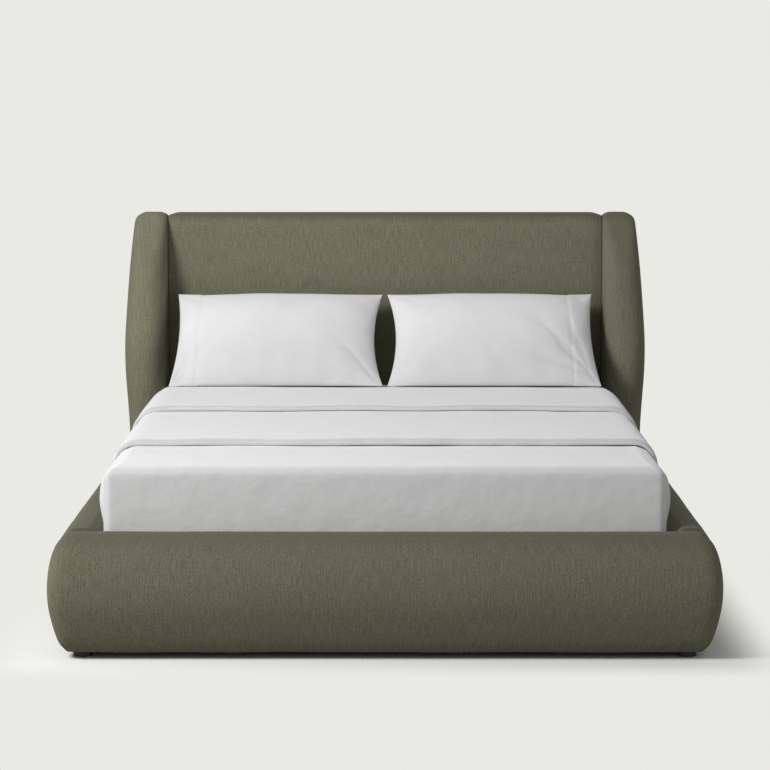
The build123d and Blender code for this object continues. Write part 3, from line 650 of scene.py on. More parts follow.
@dataclass
class Rails(Upholstery):
    """The foot rail and the two side rails, with one puffed section."""

    section: Table = (
        (0.34, 0.0), (0.225, 0.0), (0.165, 0.0), (0.12, 0.0), (0.083, 0.0), (0.05, 0.0),
        (0.023, 0.0), (0.007, 0.0), (0.0, 0.0), (0.001, 0.0), (0.01, 0.0), (0.028, 0.0),
        (0.053, 0.0), (0.088, 0.0), (0.14, 0.012), (0.225, 0.07), (0.4, 0.24),
    )
    end_radius: float = 0.046
    inner_radius: float = 0.014
    edge_radius: float = 0.009
    end_fold: float = 0.009
    fold_from: float = 0.8
    dome_from: float = 0.97
    corner_fade: float = 1.2
    uneven: float = 0.0016
    uneven_pitch: float = 5.0
    foot_slices: tuple[int, int, int] = (64, 8, 24)
    foot_ease: tuple[float, float, float] = (1.5, 1.0, 1.25)
    side_slices: tuple[int, int, int] = (8, 56, 24)
    side_ease: tuple[float, float, float] = (1.0, 1.6, 1.25)

    def __post_init__(self) -> None:
        """Reads the rails' corners from the frame."""
        self.foot_low, self.foot_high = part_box("foot_rail_cover")
        self.side_low, self.side_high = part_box("side_rail_right_cover")
        self.thickness = self.side_high.x - self.side_low.x

    def wobble(self, place: Vector) -> Vector:
        """A hand's unevenness of the padding under the cloth.

        Args:
            place: A place on the smooth rail.

        Returns:
            How far the cloth lies off it there.
        """
        shifts = (Vector((0.0, 0.0, 0.0)), Vector((31.4, 0.0, 0.0)), Vector((0.0, 27.1, 0.0)))
        spots = [place * self.uneven_pitch + shift for shift in shifts]
        return Vector([noise.noise(spot) for spot in spots]) * self.uneven

    def foot_rail(self) -> bpy.types.Object:
        """The foot rail, with rounded ends.

        Returns:
            The piece.
        """
        low, high = self.foot_low, self.foot_high
        bm = sliced_box(*self.foot_slices, self.foot_ease)
        map_cloth(bm, high - low, 1)

        def place(across: float, along: float, up: float) -> Vector:
            """From a share of the box to the puffed rail.

            Args:
                across: Share of the width.
                along: Share of the length.
                up: Share of the height.

            Returns:
                The place.
            """
            outer = read_table(self.section, up, 0) * self.thickness
            inner = read_table(self.section, up, 1) * self.thickness
            half = high.x - outer
            y_low, y_high = low.y + outer, high.y - inner
            radius = self.end_radius * (1 - self.corner_fade * outer / self.thickness)
            half_y = (y_high - y_low) / 2
            x, y = rounded(half * (2 * across - 1), half_y * (2 * along - 1), half, half_y, radius)
            dome = self.crown_rise * (1 - (2 * along - 1) ** 2) * smooth(self.dome_from, 1, up)
            rise = low.z + up * (high.z - low.z) - self.crown_rise + dome
            point = Vector((x, y + (y_low + y_high) / 2, rise))
            return point + self.wobble(point)

        place_all(bm, place)
        return self.finish("foot_rail_upholstery", bm, ("foot_rail_cover", "foot_rail_padding"))

    def side_rail(self, side: int) -> bpy.types.Object:
        """One side rail, whose ends fold in a little at the crown.

        Args:
            side: 1 for the right one, -1 for the left one.

        Returns:
            The piece.
        """
        low, high = self.side_low, self.side_high
        word = "right" if side > 0 else "left"
        bm = sliced_box(*self.side_slices, self.side_ease)
        map_cloth(bm, high - low, 0)

        def place(across: float, along: float, up: float) -> Vector:
            """From a share of the box to the puffed rail.

            Args:
                across: Share of the width.
                along: Share of the length.
                up: Share of the height.

            Returns:
                The place.
            """
            outer = read_table(self.section, up, 0) * self.thickness
            inner = read_table(self.section, up, 1) * self.thickness
            fold = self.end_fold * smooth(self.fold_from, 1, up)
            x_low, x_high = low.x + inner, high.x - outer
            y_low, y_high = low.y + fold, high.y - fold
            half_x, half_y = (x_high - x_low) / 2, (y_high - y_low) / 2
            x, y = rounded(
                half_x * (2 * across - 1), half_y * (2 * along - 1), half_x, half_y, self.edge_radius
            )
            dome = self.crown_rise * (1 - (2 * across - 1) ** 2) * smooth(self.dome_from, 1, up)
            rise = low.z + up * (high.z - low.z) - self.crown_rise + dome
            point = Vector((side * (x + (x_low + x_high) / 2), y + (y_low + y_high) / 2, rise))
            return point + self.wobble(point)

        place_all(bm, place)
        nodes = (f"side_rail_{word}_cover", f"side_rail_{word}_padding")
        return self.finish(f"side_rail_{word}_upholstery", bm, nodes)


@dataclass
class Headboard(Upholstery):
    """The padded panel and the two curved wings."""

    top_radius: float = 0.044
    top_draw_share: float = 0.92
    seam_depth: float = 0.009
    seam_width: float = 0.032
    seam_squeeze: float = 0.006
    panel_ease: float = 0.003
    panel_slices: tuple[int, int, int] = (52, 8, 44)
    panel_gather: tuple[float, float, float] = (1.7, 1.0, 1.35)
    wing_slices: tuple[int, int, int] = (16, 26, 50)
    wing_gather: tuple[float, float, float] = (1.15, 1.5, 1.35)
    wing_section: Table = (
        (0.97, 0.13, 0.12), (1.0, 0.03, 0.12), (1.0, 0.03, 0.12), (1.0, 0.06, 0.045),
        (1.0, 0.035, 0.0), (1.0, 0.005, 0.0), (0.93, 0.0, 0.0), (0.74, 0.02, 0.0),
        (0.52, 0.05, 0.0), (0.29, 0.09, 0.0), (0.04, 0.13, 0.0),
    )
    wing_front_radius: float = 0.03
    wing_crest: float = 0.5
    wing_swell: float = 0.007
    wing_round: tuple[float, float] = (0.062, 0.085)
    wing_inner_round: tuple[float, float] = (0.062, 0.075)
    wing_back_radius: float = 0.016
    wing_top_radius: float = 0.03
    wing_draw_share: float = 0.9
    swell_start: tuple[float, float] = (0.3, 0.6)
    swell_end: tuple[float, float] = (1.0, 0.8)
    full_reach: tuple[float, float] = (0.02, 0.14)
    widest_round: float = 0.97
    deepest_round: float = 0.9

    def panel(self) -> bpy.types.Object:
        """The panel, rounded over its top and drawn in along its seams with the wings.

        Returns:
            The piece.
        """
        low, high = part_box("headboard_cover")
        bm = sliced_box(*self.panel_slices, self.panel_gather)
        map_cloth(bm, high - low, 1)
        middle = (low.y + high.y) / 2

        def place(across: float, along: float, up: float) -> Vector:
            """From a share of the box to the padded panel.

            Args:
                across: Share of the width.
                along: Share of the length.
                up: Share of the height.

            Returns:
                The place.
            """
            x = high.x * (2 * across - 1)
            near_seam = 1 - smooth(0, self.seam_width, high.x - abs(x))
            top = high.z - self.seam_depth * near_seam
            z = low.z + up * (top - low.z)
            over = max(z - (top - self.top_radius), 0.0)
            draw = self.top_radius - math.sqrt(max(self.top_radius**2 - over**2, 0.0))
            half = (high.y - low.y) / 2 - draw * self.top_draw_share
            half -= self.seam_squeeze * near_seam + self.panel_ease
            return Vector((x, middle + half * (2 * along - 1), z))

        place_all(bm, place)
        return self.finish("headboard_upholstery", bm, ("headboard_cover", "headboard_padding"))

    def wing(self, side: int) -> bpy.types.Object:
        """One wing, whose front edge curves forward as it comes down.

        Args:
            side: 1 for the right one, -1 for the left one.

        Returns:
            The piece.
        """
        word = "right" if side > 0 else "left"
        low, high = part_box("wing_right_cover")
        panel_low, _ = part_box("headboard_cover")
        reach_full = panel_low.y - low.y
        thickness = high.x - low.x
        bm = sliced_box(*self.wing_slices, self.wing_gather)
        map_cloth(bm, high - low, 0)

        def front(up: float) -> float:
            """How far forward the wing's front edge lies at a height."""
            return panel_low.y - read_table(self.wing_section, up, 0) * reach_full

        def place(across: float, along: float, up: float) -> Vector:
            """From a share of the box to the padded wing.

            Args:
                across: Share of the width.
                along: Share of the length.
                up: Share of the height.

            Returns:
                The place.
            """
            z = low.z + up * (high.z - low.z)
            over = max(z - (high.z - self.wing_top_radius), 0.0)
            draw = self.wing_top_radius - math.sqrt(max(self.wing_top_radius**2 - over**2, 0.0))
            draw *= self.wing_draw_share
            x_low = low.x + read_table(self.wing_section, up, 2) * thickness + draw
            x_high = high.x - read_table(self.wing_section, up, 1) * thickness - draw
            x_high += self.wing_swell * smooth(*self.swell_start, up) * smooth(*self.swell_end, up)
            y_low, y_high = front(up) + draw, high.y - draw
            half_y = (y_high - y_low) / 2
            even = 2 * along - 1
            crest = x_low + self.wing_crest * (x_high - x_low)
            offset = x_low + across * (x_high - x_low) - crest
            half_x = x_high - crest if offset > 0 else crest - x_low
            radius = depth = self.wing_back_radius
            if even < 0:
                reach = reach_full * read_table(self.wing_section, up, 0)
                fuller = smooth(*self.full_reach, reach)
                full = self.wing_round if offset > 0 else self.wing_inner_round
                radius = full[0] * fuller + self.wing_front_radius * (1 - fuller)
                depth = full[1] * fuller + self.wing_front_radius * (1 - fuller)
            radius = min(radius, half_x * self.widest_round)
            depth = min(depth, half_y * self.deepest_round)
            x, y = rounded(offset, half_y * even, half_x, half_y, radius, depth)
            return Vector((side * (x + crest), y + (y_low + y_high) / 2, z))

        place_all(bm, place)
        nodes = (f"wing_{word}_cover", f"wing_{word}_padding")
        return self.finish(f"wing_{word}_upholstery", bm, nodes)


@dataclass
class Layer:
    """One layer of bedding, in metres.

    Attributes:
        name: The piece's name.
        half: Half its width over the mattress.
        top: The height that its top lies on.
        drop: How far its sides hang down.
        foot: Where it ends towards the foot.
        head: Where it ends towards the head.
        shoulder: Radius from its top to its sides.
        thickness: Of a folded layer, from the lower leaf to the upper one.
        seed: Where its wrinkles are read.
        pleated: Whether its foot corners are pleated and its head end is open.
        front_half: Half the width of a pleated layer's foot face.
        side_shoulder: A boxed layer's radius along its sides, the same as at its foot when it is 0.
        side_share: How much of a folded layer's thickness is left on its sides.
        sink: How far the layer under it is thinner on the sides.
        dent: How deep the pillows press into it.
        dent_from: Where the pillows begin.
    """

    name: str
    half: float
    top: float
    drop: float
    foot: float
    head: float
    shoulder: float
    thickness: float = 0.0
    seed: float = 0.0
    pleated: bool = False
    front_half: float = 0.0
    side_shoulder: float = 0.0
    side_share: float = 1.0
    sink: float = 0.0
    dent: float = 0.0
    dent_from: float = 0.0


@dataclass
class Bedding:
    """The fitted sheet, the tucked cover and the two folded layers on it."""

    linen: bpy.types.Material
    body: str = "mattress"
    wrinkle: float = 0.0026
    pleat_at: float = 0.011
    pleat_depth: float = 0.014
    pleat_width: float = 0.006
    pleat_line: float = 0.02
    # Painted shade: how dark the linen gets along the pleat line.
    pleat_shade: float = 0.8
    pleat_bulge: float = 0.006
    pleat_reach: float = 0.12
    # Painted shade on the edges between what faces up and what faces the foot, and on the rolls'
    # foot-facing sides.
    edge_shade: float = 0.42
    roll_shade: float = 0.22
    roll_fullness: float = 0.6
    bow: float = 0.011
    bow_loss: float = 0.5
    thin_from: float = 0.68
    thin_to: float = 0.8
    sway: float = 0.01
    sway_pitch: tuple[float, float] = (3.2, 11.0)
    fine_sway: float = 0.3
    swell_top: float = 1.1
    ripple_pitch: tuple[float, float, float] = (3.1, 4.0, 3.0)
    fine_pitch: tuple[float, float] = (9.0, 15.0)
    fine_share: float = 0.35
    boxed_pitch: tuple[float, float, float] = (4.0, 4.0, 5.0)
    boxed_fine_pitch: tuple[float, float, float] = (16.0, 9.0, 9.0)
    boxed_shares: tuple[float, float] = (0.6, 0.3)
    corner_band: float = 0.02
    behind_foot: tuple[float, float] = (0.01, 0.05)
    boxed_slices: tuple[int, int, int] = (70, 110, 22)
    gather_across: float = 1.5
    gather_along: float = 1.8
    folded_slices: tuple[int, int] = (96, 90)
    gather_fold: float = 1.7
    leaf_lift: float = 0.0005
    soft_back: float = 0.3
    head_flat: float = 0.3
    head_flat_reach: float = 0.25
    puff: float = 0.2
    puff_pitch: tuple[float, float] = (4.5, 2.0)
    dent_before: float = 0.06
    dent_behind: float = 0.02

    def __post_init__(self) -> None:
        """Reads the cover's corners from the frame, for the bow that every layer shares."""
        self.cover_low, self.cover_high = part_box("bed_cover")

    def side_bow(self, y: float, z: float) -> float:
        """How far the bedding's sides swell out at a place, the same for every layer.

        Args:
            y: The place along the bed.
            z: The height.

        Returns:
            The swell.
        """
        up = (z - self.cover_low.z) / (self.cover_high.z - self.cover_low.z)
        along = (y - self.cover_low.y) / (self.cover_high.y - self.cover_low.y)
        swell = math.sin(math.pi * smooth(0.0, self.swell_top, up))
        return self.bow * swell * (1 - self.bow_loss * min(max(along, 0.0), 1.0))

    def shade(self, bm: bmesh.types.BMesh, crease_shade: Sequence[float], front: float) -> None:
        """Paints shade into the linen's colour: along the creases, on the edges between what faces up and
        what faces the foot, and on what faces the foot.

        Args:
            bm: The placed mesh.
            crease_shade: Each vertex's painted shade along the creases, in the mesh's order.
            front: How dark the painted shade on what faces the foot gets.
        """
        bm.normal_update()
        painted_shade = bm.verts.layers.float.new("painted_shade")
        for vert, crease in zip(bm.verts, crease_shade):
            # Painted shade on the edges between what faces up and what faces the foot.
            edge = max(-2 * vert.normal.y * vert.normal.z, 0.0)
            vert[painted_shade] = min(crease + self.edge_shade * edge + front * abs(vert.normal.y), 1.0)

    def drape_point(self, layer: Layer, across: float, y: float, lift: float, sink: float) -> Vector:
        """A point of a layer over the top, the shoulders and the sides of the mattress.

        Args:
            layer: The layer.
            across: From -1 at the left hem to 1 at the right one.
            y: The place along the bed.
            lift: How far the point lies off the surface under the layer.
            sink: How far the layer under it has sunk there.

        Returns:
            The point.
        """
        radius = layer.shoulder + lift
        half, top = layer.half + lift, layer.top + lift - sink
        flat_half = half - radius
        quarter = radius * math.pi / 2
        side_length = layer.drop - layer.shoulder
        travel = abs(across) * (flat_half + quarter + side_length)
        if travel <= flat_half:
            x, z = travel, top
        elif travel <= flat_half + quarter:
            turn = (travel - flat_half) / radius
            x, z = flat_half + radius * math.sin(turn), top - radius * (1 - math.cos(turn))
        else:
            x, z = half, top - radius - (travel - flat_half - quarter)
        pitch_x, pitch_y, pitch_z = self.ripple_pitch
        ripple = noise.noise(Vector((math.copysign(x, across) * pitch_x, y * pitch_y, z * pitch_z)))
        pitch_x, pitch_y = self.fine_pitch
        fine = noise.noise(Vector((across * pitch_x, y * pitch_y, layer.seed + 3)))
        move = self.wrinkle * (ripple + self.fine_share * fine)
        outward = smooth(flat_half, half, x)
        x += (move + self.side_bow(y, z)) * outward
        z += move * (1 - outward)
        return Vector((math.copysign(x, across), y, z))

    def declare(
        self, piece: bpy.types.Object, layer: Layer, node: str
    ) -> None:
        """Hangs a piece on the bedding's body, hides the node that it stands for and logs the size of its
        cloth.

        Args:
            piece: The layer's piece.
            layer: The layer's sizes.
            node: The node that it stands for.
        """
        width = 2 * (layer.half + layer.drop)
        length = sheet_area(piece) / width
        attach(piece, self.body)
        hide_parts(node)
        log.info("laid %s, %.2f by %.2f m", piece.name, width, length)

    def boxed(
        self, layer: Layer, corner: float, node: str
    ) -> bpy.types.Object:
        """A sheet tucked round the mattress: top, sides and foot, open below.

        Args:
            layer: The layer's sizes.
            corner: Radius of the upright corners.
            node: The node that it stands for.

        Returns:
            The piece.
        """
        bm = sliced_box(*self.boxed_slices)
        side_shoulder = layer.side_shoulder or layer.shoulder
        front_half = layer.front_half or layer.half
        floor = [f for f in bm.faces if f.calc_center_median().z < 1e-6]
        open_head = [f for f in bm.faces if layer.pleated and f.calc_center_median().y > 1 - 1e-6]
        bmesh.ops.delete(bm, geom=floor + open_head, context="FACES")
        middle, half_y = (layer.foot + layer.head) / 2, (layer.head - layer.foot) / 2
        low = layer.top - layer.drop
        crease_shade: list[float] = []

        def place(across: float, along: float, up: float) -> Vector:
            """From a share of the box to the tucked sheet.

            Args:
                across: Share of the width.
                along: Share of the length.
                up: Share of the height.

            Returns:
                The place.
            """
            even_x, even_y = 2 * across - 1, 2 * along - 1
            x = layer.half * math.copysign(1 - (1 - abs(even_x)) ** self.gather_across, even_x)
            y = half_y * math.copysign(1 - (1 - abs(even_y)) ** self.gather_along, even_y)
            z = low + up * layer.drop
            over = max(z - (layer.top - layer.shoulder), 0.0)
            draw = layer.shoulder - math.sqrt(max(layer.shoulder**2 - over**2, 0.0))
            side_over = max(z - (layer.top - side_shoulder), 0.0)
            side_draw = side_shoulder - math.sqrt(max(side_shoulder**2 - side_over**2, 0.0))
            behind = smooth(*self.behind_foot, y + half_y)
            side_draw = draw + (side_draw - draw) * behind
            hx, hy = front_half - side_draw + (layer.half - front_half) * behind, half_y - draw
            x, y = x * hx / layer.half, y * hy / half_y
            x, y = rounded(x, y, hx, hy, corner)
            side = smooth(hx - self.corner_band, hx, abs(x))
            crease = 0.0
            if layer.pleated:
                from_front = y + half_y
                near = math.exp(-((from_front / self.pleat_reach) ** 2))
                out = self.side_bow(y + middle, z) * (1 + near * self.pleat_bulge / self.bow) * behind
                groove = math.exp(-(((from_front - self.pleat_at) / self.pleat_width) ** 2))
                out -= self.pleat_depth * groove * smooth(1.0, 0.8, up)
                x += math.copysign(out * side, x)
                # Painted shade: a dark line along the pleat's crease.
                line = math.exp(-(((from_front - self.pleat_line) / self.pleat_width) ** 2))
                crease = self.pleat_shade * line * side * smooth(1.0, 0.9, up)
            crease_shade.append(crease)
            pitch_x, pitch_y, pitch_z = self.boxed_pitch
            ripple = noise.noise(Vector((x * pitch_x, y * pitch_y, z * pitch_z + layer.seed)))
            pitch_x, pitch_y, pitch_z = self.boxed_fine_pitch
            fine = noise.noise(Vector((x * pitch_x, y * pitch_y, z * pitch_z + layer.seed)))
            move = self.wrinkle * (self.boxed_shares[0] * ripple + self.boxed_shares[1] * fine)
            return Vector((x, y + middle, z + move * (1 - side)))

        place_all(bm, place)
        # Painted shade along the pleat lines and on the top edges that face the foot.
        self.shade(bm, crease_shade, 0.0)
        piece = make_piece(layer.name, bm, self.linen, 1)
        self.declare(piece, layer, node)
        return piece

    def folded(self, layer: Layer, node: str) -> bpy.types.Object:
        """A layer folded over on itself: its soft fold faces the foot of the bed.

        Args:
            layer: The layer's sizes.
            node: The node that it stands for.

        Returns:
            The piece.
        """
        radius = layer.thickness / 2
        run = layer.head - layer.foot - radius
        total = 2 * run + math.pi * radius
        bm = sliced_sheet(*self.folded_slices)

        def place(across: float, along: float, _up: float) -> Vector:
            """From the flat cloth to its place, along the lower leaf, the fold and the upper leaf.

            Args:
                across: Share of the cloth's width.
                along: Share of the cloth's length.
                _up: Always 0; not used.

            Returns:
                The place.
            """
            side, even = 2 * across - 1, 2 * along - 1
            travel = total * (0.5 + 0.5 * math.copysign(abs(even) ** self.gather_fold, even))
            if travel < run:
                y, lift = layer.head - travel, self.leaf_lift
            elif travel < run + math.pi * radius:
                turn = (travel - run) / radius
                y = layer.foot + radius - radius * math.sin(turn) ** self.roll_fullness
                lift = self.leaf_lift + radius * (1 - math.cos(turn))
            else:
                y = layer.foot + radius + travel - run - math.pi * radius
                lift = 2 * self.leaf_lift + layer.thickness
            broad, narrow = self.sway_pitch
            sway = self.sway * noise.noise(Vector((side * broad, layer.seed, 1.0)))
            sway += self.fine_sway * self.sway * noise.noise(Vector((side * narrow, layer.seed, 5.0)))
            back = 1 - smooth(layer.foot, layer.foot + self.soft_back, y)
            reach = abs(side) * (layer.half + layer.drop + layer.shoulder * (math.pi / 2 - 2))
            thin = smooth(self.thin_from, self.thin_to, reach)
            lift *= 1 - (1 - layer.side_share) * thin
            lift *= 1 - self.head_flat * smooth(layer.head - self.head_flat_reach, layer.head, y)
            pitch_x, pitch_y = self.puff_pitch
            puffed = noise.noise(Vector((side * pitch_x, y * pitch_y, layer.seed + 7)))
            lift *= 1 + self.puff * back * puffed
            point = self.drape_point(layer, side, y, lift, layer.sink * thin)
            point.y += sway * back
            if layer.dent:
                start, end = layer.dent_from - self.dent_before, layer.dent_from + self.dent_behind
                sunk = smooth(start, end, y)
                point.z -= layer.dent * sunk * smooth(1.0, 0.8, abs(side))
            return point

        place_all(bm, place)
        # Painted shade on the edges and on the rolls' sides that face the foot.
        self.shade(bm, [0.0] * len(bm.verts), self.roll_shade)
        piece = make_piece(layer.name, bm, self.linen, 1)
        self.declare(piece, layer, node)
        return piece


@dataclass
class Pillow:
    """One pillow in its case, leaning on the headboard."""

    linen: bpy.types.Material
    side: int
    width: float = 0.722
    thickness: float = 0.165
    middle_gap: float = 0.007
    inner_draw: float = 0.03
    outer_draw: float = 0.018
    top_draw: float = 0.02
    base_draw: float = 0.004
    head_gap: float = 0.045
    hem: float = 0.09
    hem_groove: float = 0.0022
    wrinkle: float = 0.007
    # Painted shade: how dark the case gets at its base, fading out by this share of its height.
    lower_shade: float = 0.3
    shade_from: float = 0.65
    crown_power: tuple[float, float] = (2.6, 2.3)
    crown_round: float = 0.62
    wander_pitch: tuple[float, float] = (2.2, 2.0)
    wander_share: float = 0.6
    end_from: float = 0.6
    end_waves: tuple[float, float] = (6.0, 3.0)
    end_share: float = 0.3
    lower_from: float = 0.2
    lower_pitch: tuple[float, float] = (5.0, 2.5)
    lower_share: float = 0.5
    fold_squash: float = 0.7
    fold_wander: float = 0.06
    fold_spread: tuple[float, float] = (0.6, 0.8)
    fold_share: float = 0.8
    fold_fade: float = 0.7
    draw_power: tuple[float, float, float] = (2.0, 2.2, 3.0)
    flat_crown: float = 0.02
    groove_width: float = 0.004
    hem_rise: float = 0.6
    slices: tuple[int, int, int] = (88, 60, 2)
    gather: tuple[float, float, float] = (1.3, 1.3, 1.0)
    foot_reach: float = 0.003
    tip_drop: float = 0.012
    lift: float = 0.0008
    seam: float = 0.001
    merge_reach: float = 0.0004
    # Folds in the case: start across and up, end across and up, width and depth.
    folds: Table = (
        (1.0, -1.0, 0.35, 0.25, 0.05, 0.009), (1.0, -0.9, 0.1, -0.45, 0.045, 0.007),
        (0.95, -1.0, 0.72, 0.35, 0.04, 0.007), (-1.0, -1.0, -0.5, -0.15, 0.05, 0.007),
        (-1.0, 1.0, -0.62, 0.45, 0.05, 0.006), (1.0, 1.0, 0.66, 0.5, 0.05, 0.006),
        (-0.9, -1.0, -0.25, -0.6, 0.04, 0.005),
    )

    def crown(self, u: float, v: float) -> float:
        """Half the pillow's thickness at a place, from 0 at the seam to the full crown.

        Args:
            u: The place across, from -1 to 1.
            v: The place up the pillow, from -1 to 1.

        Returns:
            Half the thickness.
        """
        edge_u = max(1 - abs(u) ** self.crown_power[0], 0.0) ** self.crown_round
        edge_v = max(1 - abs(v) ** self.crown_power[1], 0.0) ** self.crown_round
        return self.thickness / 2 * edge_u * edge_v

    def creases(self, u: float, v: float) -> float:
        """Soft creases that run in from the corners and the open end.

        Args:
            u: The place across, from -1 to 1.
            v: The place up the pillow, from -1 to 1.

        Returns:
            How far the cloth stands out there.
        """
        pitch_u, pitch_v = self.wander_pitch
        wander = noise.noise(Vector((u * pitch_u, v * pitch_v, 4.0 + self.side)))
        waves, shift = self.end_waves
        end = smooth(self.end_from, 1.0, u) * math.sin(waves * v + shift * wander)
        pitch_u, pitch_v = self.lower_pitch
        lower = noise.noise(Vector((u * pitch_u, v * pitch_v, 9.0 + self.side)))
        lower *= smooth(self.lower_from, 1.0, -v)
        height = self.wander_share * wander + self.end_share * end + self.lower_share * lower
        height *= self.wrinkle
        for start_u, start_v, end_u, end_v, width, depth in self.folds:
            run_u, run_v = end_u - start_u, end_v - start_v
            length = run_u**2 + run_v**2
            along = min(max(((u - start_u) * run_u + (v - start_v) * run_v) / length, 0.0), 1.0)
            away_v = (v - start_v - along * run_v) * self.fold_squash
            away = math.hypot(u - start_u - along * run_u, away_v) + self.fold_wander * wander
            spread = width * (self.fold_spread[0] + self.fold_spread[1] * along)
            fade = self.fold_share * (1 - along) ** self.fold_fade
            height -= fade * depth * math.exp(-((away / spread) ** 2))
        return height

    def build(self) -> bpy.types.Object:
        """The case: two crowned faces that meet in a seam with pointed corners.

        Returns:
            The piece.
        """
        word = "right" if self.side > 0 else "left"
        low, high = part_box(f"pillow_{word}_case")
        _, fold_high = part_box("duvet_fold")
        board_low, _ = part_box("headboard_cover")
        bm = sliced_box(*self.slices, self.gather)
        floor = fold_high.z + self.lift - PILLOW_DENT
        base = Vector((0, low.y - self.foot_reach, floor + self.seam))
        tip = Vector((0, board_low.y - self.head_gap, high.z - self.tip_drop))
        height = (tip - base).length
        up_bed = (tip - base) / height
        outwards = Vector((0, -up_bed.z, up_bed.y))

        def place(across: float, along: float, up: float) -> Vector:
            """From a share of the box to the leaning pillow.

            Args:
                across: Share of the width.
                along: Share of the length.
                up: Share of the height.

            Returns:
                The place.
            """
            u, v = 2 * across - 1, 2 * along - 1
            side_draw = self.outer_draw if u > 0 else self.inner_draw
            end_draw = self.top_draw if v > 0 else self.base_draw
            power_v, power_u, power_end = self.draw_power
            draw_u = side_draw * (1 - abs(v) ** power_v) * abs(u) ** power_end
            draw_v = end_draw * (1 - abs(u) ** power_u) * abs(v) ** power_end
            x = u * (self.width / 2 - draw_u)
            rise = height / 2 + v * (height / 2 - draw_v)
            level = 2 * up - 1
            crown = self.crown(u, v)
            depth = crown + self.creases(u, v) * min(crown / self.flat_crown, 1.0)
            hem_line = self.width / 2 - self.hem
            depth -= self.hem_groove * math.exp(-(((x - hem_line) / self.groove_width) ** 2))
            step = smooth(hem_line, hem_line + self.groove_width, x)
            depth = level * (depth + self.hem_groove * self.hem_rise * step)
            point = base + up_bed * rise + outwards * depth
            middle = self.middle_gap + self.width / 2
            point.x = self.side * (middle + x)
            point.z = max(point.z, floor if level < 0 else floor + self.seam)
            return point

        place_all(bm, place)
        bmesh.ops.remove_doubles(bm, verts=bm.verts, dist=self.merge_reach)
        bmesh.ops.recalc_face_normals(bm, faces=bm.faces)
        # Painted shade: the case gets darker towards its base.
        painted_shade = bm.verts.layers.float.new("painted_shade")
        for vert in bm.verts:
            share = (vert.co - base).dot(up_bed) / height
            vert[painted_shade] = self.lower_shade * smooth(self.shade_from, 0.0, share)
        piece = make_piece(f"pillow_{word}_in_case", bm, self.linen, 1)
        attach(piece, f"pillow_{word}")
        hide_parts(f"pillow_{word}_case", f"pillow_{word}_filling")
        log.info("plumped the %s pillow", word)
        return piece


